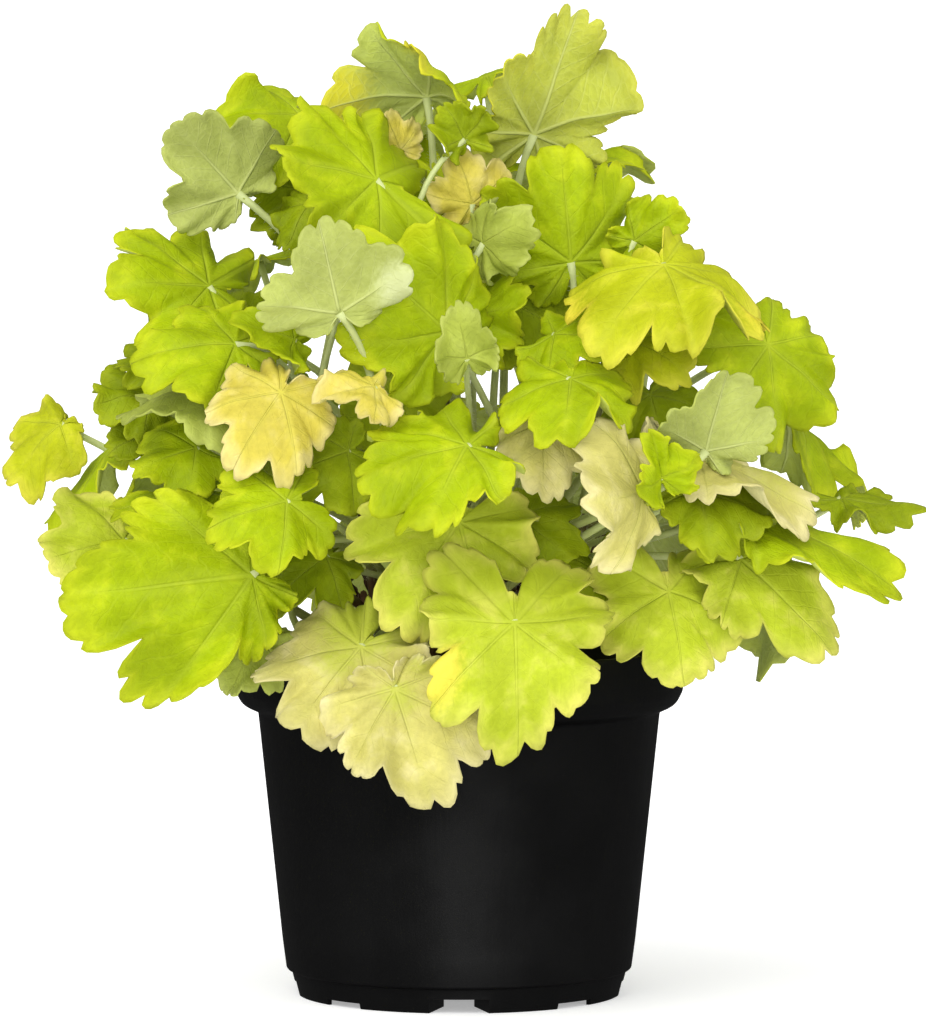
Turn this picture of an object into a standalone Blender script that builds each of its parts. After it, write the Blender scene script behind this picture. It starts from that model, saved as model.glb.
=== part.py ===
# Heuchera in a round nursery pot: leaves on their stalks, a woody crown, soil and the pot.
# Metres, +Z up, origin on the ground under the middle of the pot, the front towards -Y.
import math
import random

import bmesh
import bpy
import numpy as np
from mathutils import Matrix, Vector
from mathutils.bvhtree import BVHTree

MM = 0.001
SEED = 20

# Pot, in millimetres
POT_SIDES = 28
POT_RIM_RADIUS = 85.0
POT_HEIGHT = 132.0
BASE_TOP = 8.4
BASE_UNDERSIDE = 6.6
WALL_FOOT_HEIGHT = 20.0
STEP_HEIGHT = 109.0
LIP_HEIGHT = 116.4
POT_OUTER = ((61.0, 0.0), (63.3, 9.2), (65.2, 9.8), (66.7, 21.0), (75.8, 107.2),
             (82.0, 110.0), (84.5, 115.0), (POT_RIM_RADIUS, POT_HEIGHT))
POT_INNER = ((83.3, POT_HEIGHT), (82.9, LIP_HEIGHT), (74.3, STEP_HEIGHT), (65.0, WALL_FOOT_HEIGHT),
             (61.4, BASE_TOP))
FOOT_INNER_RADIUS = 59.2
NOTCH_COUNT = 4
NOTCH_HALF_WIDTH = 11.2
NOTCH_HEIGHT = 5.4
RECESS_HALF_WIDTH = 8.6
RECESS_HEIGHT = 2.2
NOTCH_CUT_LENGTH = 22.0
RECESS_CUT_LENGTH = 16.0
CUT_RADIUS = 62.0
CUT_PAST = 2.0
CHEEK_LENGTH = 20.0
CHEEK_THICKNESS = 1.6
CHEEK_INNER_OFFSET = 5.5
CHEEK_JOIN = 0.8
DRAIN_COUNT = 4
DRAIN_RADIUS = 4.5
DRAIN_CIRCLE = 44.0
DRAIN_SIDES = 8

# Soil and crown, in millimetres
FIT_GAP = 0.4
SOIL_EDGE_HEIGHT = 117.5
SOIL_RINGS = ((62.0, 118.6), (40.0, 119.6), (26.0, 120.4))
SOIL_LUMP = 1.4
STOCK_RADIUS = 18.0
STOCK_DEPTH = 92.0
STOCK_TOP = 134.0
STOCK_SIDES = 12
HEADS = ((0, 4, 142, 15), (-24, -8, 136, 13), (22, -12, 137, 13.5), (-14, 20, 137, 13),
         (17, 19, 136, 12.5), (-2, -24, 134, 12))
STUB_COUNT = 12
STUB_RISE = (5, 55)
STUB_LENGTH = (14, 24)
STUB_LIFT = 5.0
STUB_OUTWARD = 0.9
STUB_SINK = 5.0
STUB_SAG = 0.08
STUB_RADII = (1.9, 1.5, 1.1)
STUB_STEPS = (0.0, 0.4, 1.0)
STUB_SIDES = 3
LONG_STUBS = ((26, -30, 189), (38, -26, 193), (47, -10, 182), (-36, -34, 154), (-41, -14, 205),
              (-10, -44, 147), (66, -18, 170), (58, 10, 176))

# Where the plant is looked at from, in millimetres: leaves are placed along the lines of sight
EYE_DISTANCE = 2800.0
EYE_HEIGHT = 375.0

# Half width of the dome of leaves at some heights, and its depth as a share of its width
DOME_HEIGHTS = (85, 140, 180, 215, 260, 300, 340, 375)
DOME_WIDTHS = (126, 140, 150, 148, 118, 100, 62, 26)
DOME_DEPTH = 0.82
DOME_MIDDLE = (0.0, 0.0, 150.0)

# Rows of leaves round the back: how far they stray, in radians and millimetres, and which way they hang
BACK_STRAY_TURN = 0.07
BACK_STRAY_OUT = 4.0
BACK_STRAY_UP = 8.0
BACK_STRAY_SIZE = 4.0
BACK_SWING = 0.5
BACK_OUTWARD = (0.45, 0.2)
BACK_UPWARD = (-0.75, 0.3)
BACK_FACE = (0.9, 0.65)
BACK_FACE_RISE = 260.0

# Leaf build, lengths in millimetres
BLADE_HALF = 0.36
BLADE_CLEARANCE = 0.75
STALK_RADII = np.array((1.9, 1.75, 1.6, 1.4, 1.25))
STALK_STEPS = np.array((0.0, 0.14, 0.42, 0.74, 1.0))
BRANCH_STEP = 2
LEAST_ARRIVAL = 0.42
SMALL_STALK = 0.8
STALK_CLEARANCE = 0.35
STALK_TRIES = 800
STALK_SWELL = 0.5
STALK_HOLD = 0.33
STALK_MEET = 0.30
ARRIVE_STRAIGHT = (0.4, 1.0)
ARRIVE_ALONG = 0.4
ARRIVE_OUT = 0.55
PIERCE_COST = 3
SUNK_COST = 4
TUBE_SIDE = (0.31, 0.27, 0.91)
MOST_RELAYS = 6
CROWN_AIM = (0.0, 0.0, 132.0)
CROWN_SPREAD = 18.0
AIM_SHIFT = 0.10
LOOK_DOWN = 25.0
LEAST_RISE = -0.1
MOTHER_HOLD = 0.35
LOBED_SPAN = 336.0
LOBE_NOTCH = 0.18
NOTCH_POWER = 2.4
REACH_LOSS = 0.50
REACH_BEARING = 144.0
REACH_POWER = 1.7
SINUS_REACH = 0.13
SINUS_EDGE = (174.0, 186.0)
INNER_SHARE = 0.52
UNEVEN = 0.05
WAVE = (0.06, 0.11)
CURL = (-0.05, 0.07)
CUP_GAIN = 2.0
DROOP_GAIN = 1.6
BIG_LEAF = 33
SMALL_LEAF = 24

COLOURS = {
    "lime": (0.42, 0.62, 0.02),
    "yellow": (0.66, 0.66, 0.05),
    "gold": (0.80, 0.66, 0.10),
    "cream": (0.78, 0.72, 0.32),
    "pale": (0.45, 0.56, 0.16),
    "olive": (0.20, 0.30, 0.02),
}


def leaf(name, at, tip, size, back=0, lean=-1, face=(0, 25), droop=20, cup=22, fold=0,
         lobes=5, narrow=1.0, base=1.0, tone="lime", node=None, place=None):
    # at and tip are seen places (x, z) of the stalk's end and the middle lobe's end,
    # back is how far the stalk's end lies behind the dome's front, and face is the way
    # the upper side looks: turned right from the front, then up, in degrees
    seed = SEED + sum((k + 1) * ord(letter) for k, letter in enumerate(name))
    return dict(name=name, at=at, tip=tip, size=size, back=back, lean=lean, face=face,
                droop=droop, cup=cup, fold=fold, lobes=lobes, narrow=narrow, base=base, tone=tone,
                node=node or "leaf_" + name, place=place, seed=seed)


FRONT_LEAVES = (
    leaf("top_right", (28, 324), (46, 371), 52, 30, face=(196, 10), cup=30, droop=6, tone="yellow",
         narrow=0.8, lobes=7),
    leaf("top_left", (-12, 338), (-38, 367), 42, 30, face=(170, 50), cup=42, droop=14, base=0.3,
         narrow=0.9, lobes=7),
    leaf("high_left", (-83, 302), (-107, 330), 38, 2, face=(204, 30), cup=10, droop=6, narrow=0.85,
         base=0.3, tone="pale"),
    leaf("high_left_behind", (-60, 331), (-92, 338), 35, 12, face=(-15, 46), node="shoot_high_left"),
    leaf("crest", (-31, 307), (-67, 318), 43, 0, face=(-4, 34), cup=14, droop=12, base=2.1, lobes=7),
    leaf("high_left_dark", (-57, 303), (-78, 308), 25, 34, face=(-30, 20), tone="olive",
         node="shoot_high_left"),
    leaf("high_left_small", (-56, 298), (-66, 284), 20, 30, face=(-30, 10), tone="olive",
         node="shoot_high_left"),
    leaf("left_mid", (-94, 267), (-130, 272), 40, 6, face=(-12, 36), cup=16, droop=14, base=1.6, lobes=7),
    leaf("pale_back", (-45, 257), (-52, 290), 34, -20, face=(184, 10), cup=8, droop=4, base=0.1,
         narrow=1.15, tone="pale"),
    leaf("heart", (-5, 250), (-30, 279), 46, 2, face=(0, 30), base=1.2, lobes=7),
    leaf("crest_centre", (2, 284), (-24, 308), 36, 22, face=(0, 30)),
    leaf("gold_bud", (5, 298), (1, 318), 21, 26, face=(5, 30), tone="gold", node="shoot_top"),
    leaf("orange_bud", (-22, 318), (-27, 331), 15, 24, face=(-5, 30), tone="gold", node="shoot_top"),
    leaf("curl_left", (-39, 283), (-42, 297), 15, 2, face=(-5, 30), cup=-50, tone="pale"),
    leaf("crest_right", (9, 283), (24, 293), 22, 8, face=(8, 20), base=1.4, tone="pale"),
    leaf("tall_right", (42, 276), (39, 321), 46, 22, face=(10, 16), narrow=0.85, lobes=7),
    leaf("curl_top", (2, 322), (-5, 337), 18, 12, face=(0, 30), cup=-40, tone="olive",
         node="shoot_top"),
    leaf("small_right", (66, 284), (86, 299), 25, 24, face=(35, 30), narrow=0.6, tone="olive"),
    leaf("yellow_right", (77, 275), (91, 253), 48, -8, face=(14, 64), cup=24, narrow=1.1, lobes=7,
         tone="yellow"),
    leaf("right_inner", (66, 246), (84, 242), 28, 12, face=(12, 34), tone="yellow",
         node="shoot_right_low"),
    leaf("centre_right", (36, 249), (58, 251), 29, 18, face=(5, 44)),
    leaf("behind_right", (18, 262), (44, 250), 34, 40, face=(8, 25), tone="olive"),
    leaf("centre_edge", (7, 256), (25, 262), 24, 18, face=(12, 22)),
    leaf("behind_centre", (-26, 232), (-14, 208), 31, 46, face=(-5, 20), tone="olive"),
    leaf("curl_centre", (3, 240), (0, 258), 20, -10, face=(0, 12), cup=-46, tone="pale"),
    leaf("mid_right", (42, 232), (40, 216), 33, 0, face=(5, 44), base=1.4),
    leaf("far_right", (116, 245), (126, 205), 42, 10, face=(34, 14), base=1.3, lobes=7),
    leaf("far_right_behind", (124, 236), (138, 224), 26, 34, face=(60, 25), tone="olive",
         node="shoot_far_right"),
    leaf("pale_right", (93, 205), (100, 239), 34, -6, face=(190, 12), base=0.4, narrow=0.8, tone="pale"),
    leaf("right_shade", (72, 226), (77, 208), 27, 24, face=(5, 26), tone="olive", node="shoot_right_low"),
    leaf("folded_right", (76, 195), (74, 213), 21, 4, face=(10, 20), fold=48, node="shoot_right_low"),
    leaf("cream_tall", (69, 189), (52, 188), 36, 2, face=(46, 4), cup=24, tone="cream"),
    leaf("beige", (32, 216), (31, 190), 28, 16, face=(0, 12), narrow=0.9, tone="cream",
         node="shoot_low_inner"),
    leaf("cream_edge", (87, 205), (139, 189), 52, -6, face=(10, 76), cup=12, narrow=0.62, tone="cream"),
    leaf("right_low_dark", (90, 190), (124, 182), 34, 20, face=(8, 74), tone="olive",
         node="shoot_far_right"),
    leaf("right_turned", (92, 181), (112, 168), 32, 8, face=(186, 44), tone="pale"),
    leaf("right_reach", (108, 182), (166, 177), 57, 4, face=(-4, 78), droop=4, narrow=0.52, fold=-10),
    leaf("right_tip", (144, 187), (176, 185), 33, 12, face=(-6, 76), droop=10, narrow=0.55, tone="olive"),
    leaf("low_right", (106, 164), (142, 136), 45, 0, face=(14, 32), narrow=0.7, tone="pale"),
    leaf("low_mid_right", (79, 152), (86, 120), 37, 2, face=(14, 18), base=1.7, lobes=5, tone="yellow"),
    leaf("front", (21, 140), (23, 100), 45, -18, face=(4, 12), cup=14, base=2.0, lobes=7, tone="yellow"),
    leaf("hanging_cream", (-24, 115), (-11, 76), 42, -18, face=(0, 12), base=0.6, lobes=7, tone="cream"),
    leaf("hanging_left", (-37, 131), (-65, 102), 43, 6, face=(-18, 20), base=1.1, lobes=7, tone="cream"),
    leaf("grey_left", (-74, 134), (-90, 116), 25, 30, face=(-30, 22), tone="pale"),
    leaf("lower_centre", (0, 178), (-26, 143), 47, 14, face=(-2, 16), base=1.2, lobes=7, tone="yellow"),
    leaf("centre", (3, 207), (-38, 203), 43, -6, face=(0, 54), lobes=7),
    leaf("dark_low_left", (-50, 165), (-70, 155), 27, 40, face=(-15, 25), tone="olive"),
    leaf("dark_mid_left", (-42, 205), (-66, 198), 29, 34, face=(-15, 25), tone="olive"),
    leaf("great_left", (-78, 158), (-150, 152), 72, 4, face=(-8, 12), cup=16, droop=10, narrow=0.58,
         base=0.5, lobes=7),
    leaf("outer_left", (-126, 171), (-157, 169), 35, 16, face=(-10, 26), tone="yellow"),
    leaf("edge_left", (-100, 190), (-133, 187), 33, 26, face=(-8, 78), tone="olive"),
    leaf("small_left", (-65, 186), (-95, 181), 32, -6, face=(-8, 32), base=1.4),
    leaf("left_shelf", (-99, 206), (-126, 200), 28, 16, face=(-20, 40)),
    leaf("gold", (-67, 227), (-86, 203), 34, -8, face=(-4, 22), cup=34, lobes=7, tone="gold"),
    leaf("gold_small", (-32, 229), (-50, 231), 22, -4, face=(0, 50), tone="gold"),
    leaf("pale_shelf", (-90, 231), (-129, 223), 41, 8, face=(-8, 72), tone="pale"),
    leaf("left_fan", (-84, 245), (-122, 248), 38, 6, face=(-10, 72), droop=14, narrow=0.85),
    leaf("ruffle_left", (-62, 247), (-78, 256), 23, 4, face=(-5, 30), cup=-26),
    leaf("brown_left", (-108, 238), (-127, 238), 22, 26, face=(-20, 30), tone="olive",
         node="shoot_outer_left"),
    leaf("dark_outer_left", (-116, 226), (-138, 226), 24, 30, face=(-20, 35), tone="olive",
         node="shoot_outer_left"),
    leaf("green_outer_left", (-114, 212), (-130, 209), 20, 34, face=(-20, 35), tone="olive",
         node="shoot_outer_left"),
    leaf("yellow_far_left", (-150, 215), (-175, 195), 33, 0, face=(-46, 12), base=0.3, narrow=0.75,
         tone="yellow"),
    leaf("behind_left_mid", (-80, 254), (-114, 253), 35, 32, face=(-4, 60), tone="olive",
         node="shoot_outer_left"),
    leaf("shade_centre", (22, 180), (42, 168), 27, 40, face=(5, 25), tone="olive", node="shoot_low_inner"),
    leaf("shade_right", (52, 160), (60, 135), 29, 34, face=(10, 20), tone="olive",
         node="shoot_low_right"),
)

# Rows of leaves round the back and sides: height, radius, first and last bearing, count, size
BACK_ROWS = (
    (168, 137, 25, 166, 6, 50),
    (214, 129, 0, 180, 7, 52),
    (272, 92, 22, 160, 5, 50),
    (318, 58, 35, 160, 4, 44),
    (342, 22, 60, 120, 1, 44),
)
BACK_STEP = 13.0
BACK_NODES = 6


def clear_scene():
    for old in list(bpy.data.objects):
        bpy.data.objects.remove(old, do_unlink=True)


def material(name, colour, roughness):
    made = bpy.data.materials.new(name)
    made.use_nodes = True
    shader = made.node_tree.nodes["Principled BSDF"]
    shader.inputs["Base Color"].default_value = (*colour, 1.0)
    shader.inputs["Roughness"].default_value = roughness
    shader.inputs["Metallic"].default_value = 0.0
    return made


def mesh_object(name, bm, finish=None):
    bmesh.ops.recalc_face_normals(bm, faces=bm.faces)
    mesh = bpy.data.meshes.new(name)
    bm.to_mesh(mesh)
    bm.free()
    made = bpy.data.objects.new(name, mesh)
    bpy.context.scene.collection.objects.link(made)
    if finish:
        mesh.materials.append(finish)
    return made


def turned(name, profile, sides, finish=None):
    # A closed section in millimetres, (radius, height), turned round the Z axis
    bm = bmesh.new()
    ring = [bm.verts.new((radius * MM, 0, height * MM)) for radius, height in profile]
    edges = [bm.edges.new((a, b)) for a, b in zip(ring, ring[1:] + ring[:1])
             if a.co.x > 0 or b.co.x > 0]
    bmesh.ops.spin(bm, geom=ring + edges, cent=(0, 0, 0), axis=(0, 0, 1), dvec=(0, 0, 0),
                   angle=math.tau, steps=sides, use_merge=True)
    bmesh.ops.remove_doubles(bm, verts=bm.verts, dist=1e-6)
    return mesh_object(name, bm, finish)


def block(name, size, place, turn=0.0):
    # A box in millimetres, moved to its place and then turned round the Z axis
    bm = bmesh.new()
    bmesh.ops.create_cube(bm, size=1.0)
    bmesh.ops.scale(bm, vec=Vector(size) * MM, verts=bm.verts)
    bmesh.ops.translate(bm, vec=Vector(place) * MM, verts=bm.verts)
    bmesh.ops.rotate(bm, cent=(0, 0, 0), matrix=Matrix.Rotation(turn, 3, "Z"), verts=bm.verts)
    return mesh_object(name, bm)


def rod(name, radius, bottom, top, place, sides):
    bm = bmesh.new()
    bmesh.ops.create_cone(bm, cap_ends=True, segments=sides, radius1=radius * MM,
                          radius2=radius * MM, depth=(top - bottom) * MM)
    bmesh.ops.translate(bm, vec=(place[0] * MM, place[1] * MM, (top + bottom) / 2 * MM), verts=bm.verts)
    return mesh_object(name, bm)


def apply_boolean(body, others, operation, solver="EXACT"):
    # Joins the other objects to the body, or cuts them out of it, and removes them
    group = bpy.data.collections.new(body.name + "_others")
    bpy.context.scene.collection.children.link(group)
    for other in others:
        bpy.context.scene.collection.objects.unlink(other)
        group.objects.link(other)
    step = body.modifiers.new("Boolean", "BOOLEAN")
    step.operation = operation
    step.solver = solver
    step.operand_type = "COLLECTION"
    step.collection = group
    graph = bpy.context.evaluated_depsgraph_get()
    made = bpy.data.meshes.new_from_object(body.evaluated_get(graph))
    body.modifiers.clear()
    old = body.data
    body.data = made
    made.name = body.name
    bpy.data.meshes.remove(old)
    for other in others:
        bpy.data.objects.remove(other, do_unlink=True)
    bpy.data.collections.remove(group)


def make_pot():
    finish = material("pot", (0.018, 0.018, 0.019), 0.42)
    section = POT_OUTER + POT_INNER + ((0.0, BASE_TOP), (0.0, BASE_UNDERSIDE),
                                       (FOOT_INNER_RADIUS, BASE_UNDERSIDE), (FOOT_INNER_RADIUS, 0.0))
    pot = turned("pot", section, POT_SIDES, finish)
    cheeks, cutters = [], []
    cheek_height = BASE_UNDERSIDE + CHEEK_JOIN
    middle_out = FOOT_INNER_RADIUS + CHEEK_JOIN - CHEEK_LENGTH / 2
    middle_side = (NOTCH_HALF_WIDTH + CHEEK_INNER_OFFSET + CHEEK_THICKNESS) / 2
    slant = math.atan2(NOTCH_HALF_WIDTH - CHEEK_INNER_OFFSET, CHEEK_LENGTH)
    for k in range(NOTCH_COUNT):
        bearing = math.tau * k / NOTCH_COUNT
        for turn, length, half_width, height in (
                (bearing, NOTCH_CUT_LENGTH, NOTCH_HALF_WIDTH, NOTCH_HEIGHT),
                (bearing + math.pi / NOTCH_COUNT, RECESS_CUT_LENGTH, RECESS_HALF_WIDTH, RECESS_HEIGHT)):
            cutters.append(block("cut", (length, 2 * half_width, height + CUT_PAST),
                                 (CUT_RADIUS, 0, (height - CUT_PAST) / 2), turn))
        for side in (-1, 1):
            cheek = block("cheek", (CHEEK_LENGTH, CHEEK_THICKNESS, cheek_height), (0, 0, cheek_height / 2))
            cheek.data.transform(Matrix.Rotation(bearing, 4, "Z")
                                 @ Matrix.Translation(Vector((middle_out, side * middle_side, 0)) * MM)
                                 @ Matrix.Rotation(side * slant, 4, "Z"))
            cheeks.append(cheek)
    bearings = [math.tau * (k + 0.5) / DRAIN_COUNT for k in range(DRAIN_COUNT)]
    for x, y in [(0, 0)] + [(DRAIN_CIRCLE * math.cos(b), DRAIN_CIRCLE * math.sin(b)) for b in bearings]:
        cutters.append(rod("cut", DRAIN_RADIUS, BASE_UNDERSIDE - CUT_PAST, BASE_TOP + CUT_PAST, (x, y),
                           DRAIN_SIDES))
    apply_boolean(pot, cutters, "DIFFERENCE")
    apply_boolean(pot, cheeks, "UNION")
    return pot


def make_soil():
    finish = material("soil", (0.035, 0.022, 0.014), 0.95)
    lip, step, wall, foot = (radius - FIT_GAP for radius, _ in POT_INNER[1:])
    hole, hole_end = STOCK_RADIUS + FIT_GAP, STOCK_DEPTH - FIT_GAP
    section = ((hole, SOIL_RINGS[-1][1]), (hole, hole_end), (0.0, hole_end), (0.0, BASE_TOP + FIT_GAP),
               (foot, BASE_TOP + FIT_GAP), (wall, WALL_FOOT_HEIGHT), (step, STEP_HEIGHT + FIT_GAP),
               (lip, LIP_HEIGHT + FIT_GAP), (lip, SOIL_EDGE_HEIGHT)) + SOIL_RINGS
    soil = turned("soil", section, POT_SIDES, finish)
    draw = random.Random(SEED)
    for vert in soil.data.vertices:
        if vert.co.z > (SOIL_EDGE_HEIGHT + FIT_GAP) * MM and vert.co.xy.length > (hole + FIT_GAP) * MM:
            vert.co.z += draw.uniform(-SOIL_LUMP, SOIL_LUMP) * MM
    return soil


def tube_points(path, radii, sides):
    # Rings of points round a path, each ring square to it
    along = np.gradient(path, axis=0)
    along /= np.linalg.norm(along, axis=1)[:, None]
    side = np.cross(along[0], TUBE_SIDE)
    rings = []
    for centre, way, radius in zip(path, along, radii):
        side = side - way * side.dot(way)
        side /= np.linalg.norm(side)
        other = np.cross(way, side)
        turn = np.arange(sides) * math.tau / sides
        rings.append(centre + radius * (np.cos(turn)[:, None] * side + np.sin(turn)[:, None] * other))
    return np.concatenate(rings)


def tube_faces(count, sides, capped=True):
    faces = []
    for ring in range(count - 1):
        for k in range(sides):
            a, b = ring * sides + k, ring * sides + (k + 1) % sides
            faces += [(a, b, b + sides), (a, b + sides, a + sides)]
    last = (count - 1) * sides
    for k in range(1, sides - 1):
        faces.append((0, k + 1, k))
        if capped:
            faces.append((last, last + k, last + k + 1))
    return faces


def solid_from(name, points, faces, finish=None):
    # A mesh object from points in millimetres
    mesh = bpy.data.meshes.new(name)
    mesh.from_pydata([tuple(p) for p in np.asarray(points) * MM], [], faces)
    bm = bmesh.new()
    bm.from_mesh(mesh)
    bpy.data.meshes.remove(mesh)
    return mesh_object(name, bm, finish)


def stub_ends():
    # Both ends of every old stalk base: short ones by chance, long ones to places seen in the gaps
    draw = random.Random(SEED + 1)
    stubs = []
    for k in range(STUB_COUNT):
        x, y, z, radius = HEADS[k % len(HEADS)]
        bearing = draw.uniform(0, math.tau)
        rise = math.radians(draw.uniform(*STUB_RISE))
        way = Vector((math.cos(bearing) * math.cos(rise), math.sin(bearing) * math.cos(rise), math.sin(rise)))
        out = Vector((x, y, 0))
        if out.length > STUB_SINK:
            way = (way + out.normalized() * STUB_OUTWARD).normalized()
        start = Vector((x, y, z)) + way * (radius - STUB_SINK)
        lift = Vector((0, 0, 1))
        stubs.append((start, start + way * draw.uniform(*STUB_LENGTH) + lift * draw.uniform(0, STUB_LIFT)))
    for tip in LONG_STUBS:
        x, y, z, radius = min(HEADS, key=lambda head: math.dist(head[:2], (tip[0] / 2, tip[1] / 2)))
        way = (Vector(tip) - Vector((x, y, z))).normalized()
        stubs.append((Vector((x, y, z)) + way * (radius - STUB_SINK), Vector(tip)))
    return stubs


def make_crown():
    finish = material("crown", (0.10, 0.055, 0.03), 0.85)
    crown = rod("crown", STOCK_RADIUS, STOCK_DEPTH, STOCK_TOP, (0, 0), STOCK_SIDES)
    crown.data.materials.append(finish)
    others = []
    for x, y, z, radius in HEADS:
        bm = bmesh.new()
        bmesh.ops.create_uvsphere(bm, u_segments=8, v_segments=6, radius=radius * MM)
        bmesh.ops.translate(bm, vec=Vector((x, y, z)) * MM, verts=bm.verts)
        others.append(mesh_object("head", bm))
    for start, end in stub_ends():
        bend = Vector((0, 0, -STUB_SAG * (end - start).length))
        path = np.array([tuple(start.lerp(end, t) + bend * 4 * t * (1 - t)) for t in STUB_STEPS])
        others.append(solid_from("stub", tube_points(path, STUB_RADII, STUB_SIDES),
                                 tube_faces(len(path), STUB_SIDES)))
    apply_boolean(crown, others, "UNION", "MANIFOLD")
    return crown


def sight(x, z, y):
    # The point at depth y that is seen at (x, z) in the upright plane through the pot's axis
    share = (EYE_DISTANCE + y) / EYE_DISTANCE
    return np.array((x * share, y, EYE_HEIGHT + (z - EYE_HEIGHT) * share))


def dome_front(x, z):
    width = np.interp(z, DOME_HEIGHTS, DOME_WIDTHS)
    return -DOME_DEPTH * math.sqrt(max(width * width - x * x, 0.0))


def unit(vector):
    return vector / np.linalg.norm(vector)


def leaf_frame(item, push=0.0, roll=0.0, tilt=0.0):
    # The leaf's stalk end and its three directions: across, along to the tip, and out of its face
    if item["place"] is None:
        depth = dome_front(*item["at"]) + item["back"] + push
        root = sight(*item["at"], depth)
        flat = sight(*item["tip"], depth) - root
        lean = item["lean"] * math.sqrt(max(item["size"] ** 2 - flat.dot(flat), 0.0))
        along = unit(flat + (0.0, lean, 0.0))
        turn, rise = (math.radians(angle) for angle in item["face"])
        out = np.array((math.sin(turn) * math.cos(rise), -math.cos(turn) * math.cos(rise), math.sin(rise)))
    else:
        root, along, out = item["place"]
        root = root + unit(root - DOME_MIDDLE) * push
    out = unit(out - along * out.dot(along))
    across = np.cross(along, out)
    out = out * math.cos(roll) + across * math.sin(roll)
    along, out = (along * math.cos(tilt) + out * math.sin(tilt),
                  out * math.cos(tilt) - along * math.sin(tilt))
    return root, np.cross(along, out), along, out


def outline_reach(bearing, lobes):
    # Distance of the leaf's edge from the stalk's end, as a share of the middle lobe
    away = np.abs(bearing)
    span = LOBED_SPAN / lobes
    off = np.abs((away + span / 2) % span - span / 2) * 2 / span
    reach = (1 - REACH_LOSS * (away / REACH_BEARING) ** REACH_POWER) * (1 - LOBE_NOTCH * off ** NOTCH_POWER)
    return np.where(away > LOBED_SPAN / 2 + 1, SINUS_REACH, reach)


def blade_sheet(item):
    # Points (share of the reach, bearing) and triangles of the flat leaf, one ring inside its edge
    per_lobe = 2 if item["size"] < SMALL_LEAF else 3
    count = item["lobes"] * per_lobe + 1
    edge = list(np.linspace(-LOBED_SPAN / 2, LOBED_SPAN / 2, count))
    edge += [180.0] if count % 2 else SINUS_EDGE
    count = len(edge)
    inner = edge[::2]
    bearings = np.array([0.0] + inner + edge)
    shares = np.array([0.0] + [INNER_SHARE] * len(inner) + [1.0] * count)
    faces = []
    half = count // 2
    for k in range(half):
        a, b = 1 + k, 1 + (k + 1) % half
        c, d, e = (1 + half + (2 * k + n) % count for n in range(3))
        faces += [(0, b, a), (a, d, c), (a, b, d), (b, e, d)]
    return shares, bearings, faces, inner


def bend(length, angle):
    # A straight stretch bent to an arc: how far it reaches and how far it drops
    if abs(angle) < 1e-3:
        return length, 0.0 * length
    return np.sin(length * angle) / angle, (1 - np.cos(length * angle)) / angle


def blade_points(item, shares, bearings):
    # The blade in its own frame: lobed, cupped, drooping, folded and waved
    draw = random.Random(item["seed"])
    phases = [draw.uniform(0, math.tau) for _ in range(5)]
    wave, curl = draw.uniform(*WAVE), draw.uniform(*CURL)
    angle = np.radians(bearings)
    turned_bearings = (bearings + 180.0) % 360.0 - 180.0
    reach = outline_reach(turned_bearings, item["lobes"])
    reach = reach * (1 - (1 - item["narrow"]) * np.sin(angle) ** 2)
    reach = reach * (1 + UNEVEN * (np.sin(2 * angle + phases[3]) + np.sin(3 * angle + phases[4])))
    reach = reach * np.where(np.cos(angle) < 0, 1 - (item["base"] - 1) * np.cos(angle), 1.0)
    x = shares * reach * np.sin(angle)
    y = shares * reach * np.cos(angle)
    span = LOBED_SPAN / item["lobes"]
    lift = shares ** 2 * wave * (np.sin(2 * angle + phases[0]) + 0.8 * np.sin(3 * angle + phases[1])
                                 + 0.5 * np.sin(5 * angle + phases[2]))
    lift += curl * shares ** 3 * np.cos(math.tau * turned_bearings / span)
    lift *= np.minimum(reach / 0.5, 1.0)
    out, drop_side = bend(np.abs(x), math.radians(item["cup"]) * CUP_GAIN)
    fold = math.radians(item["fold"])
    side = np.sign(x) * (out * math.cos(fold) + drop_side * math.sin(fold))
    up = lift - drop_side * math.cos(fold) + out * math.sin(fold)
    ahead, drop_tip = bend(y, math.radians(item["droop"]) * DROOP_GAIN)
    return np.column_stack((side, ahead, up - drop_tip)) * item["size"]


def both_faces(points, faces, half):
    # The sheet given thickness, with the same triangles on both sides and a rim
    points = np.asarray(points)
    tri = np.array(faces)
    cross = np.cross(points[tri[:, 1]] - points[tri[:, 0]], points[tri[:, 2]] - points[tri[:, 0]])
    normals = np.zeros_like(points)
    for k in range(3):
        np.add.at(normals, tri[:, k], cross)
    normals /= np.linalg.norm(normals, axis=1)[:, None]
    total = len(points)
    solid = [tuple(f) for f in faces] + [(a + total, c + total, b + total) for a, b, c in faces]
    seen = {}
    for a, b, c in faces:
        for edge in ((a, b), (b, c), (c, a)):
            seen[edge] = True
    for a, b in seen:
        if (b, a) not in seen:
            solid += [(b, a, a + total), (b, a + total, b + total)]
    return np.concatenate((points + normals * half, points - normals * half)), solid


def placed(points, frame):
    root, across, along, out = frame
    return root + points[:, :1] * across + points[:, 1:2] * along + points[:, 2:] * out


class Obstacles:
    # Solids already placed, each under its owner's name with its box for a quick first look
    def __init__(self):
        self.solids = {}

    def add(self, points, faces, owner):
        tree = BVHTree.FromPolygons(points.tolist(), faces)
        self.solids[owner] = (tree, points.min(axis=0), points.max(axis=0))

    def remove(self, owner):
        del self.solids[owner]

    def hits(self, points, faces, skip=()):
        # The owners of the placed solids that this one crosses
        low, high = points.min(axis=0), points.max(axis=0)
        tree, found = None, []
        for owner, (other, other_low, other_high) in self.solids.items():
            if owner in skip or (other_low > high).any() or (other_high < low).any():
                continue
            tree = tree or BVHTree.FromPolygons(points.tolist(), faces)
            if tree.overlap(other):
                found.append(owner)
        return found


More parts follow.
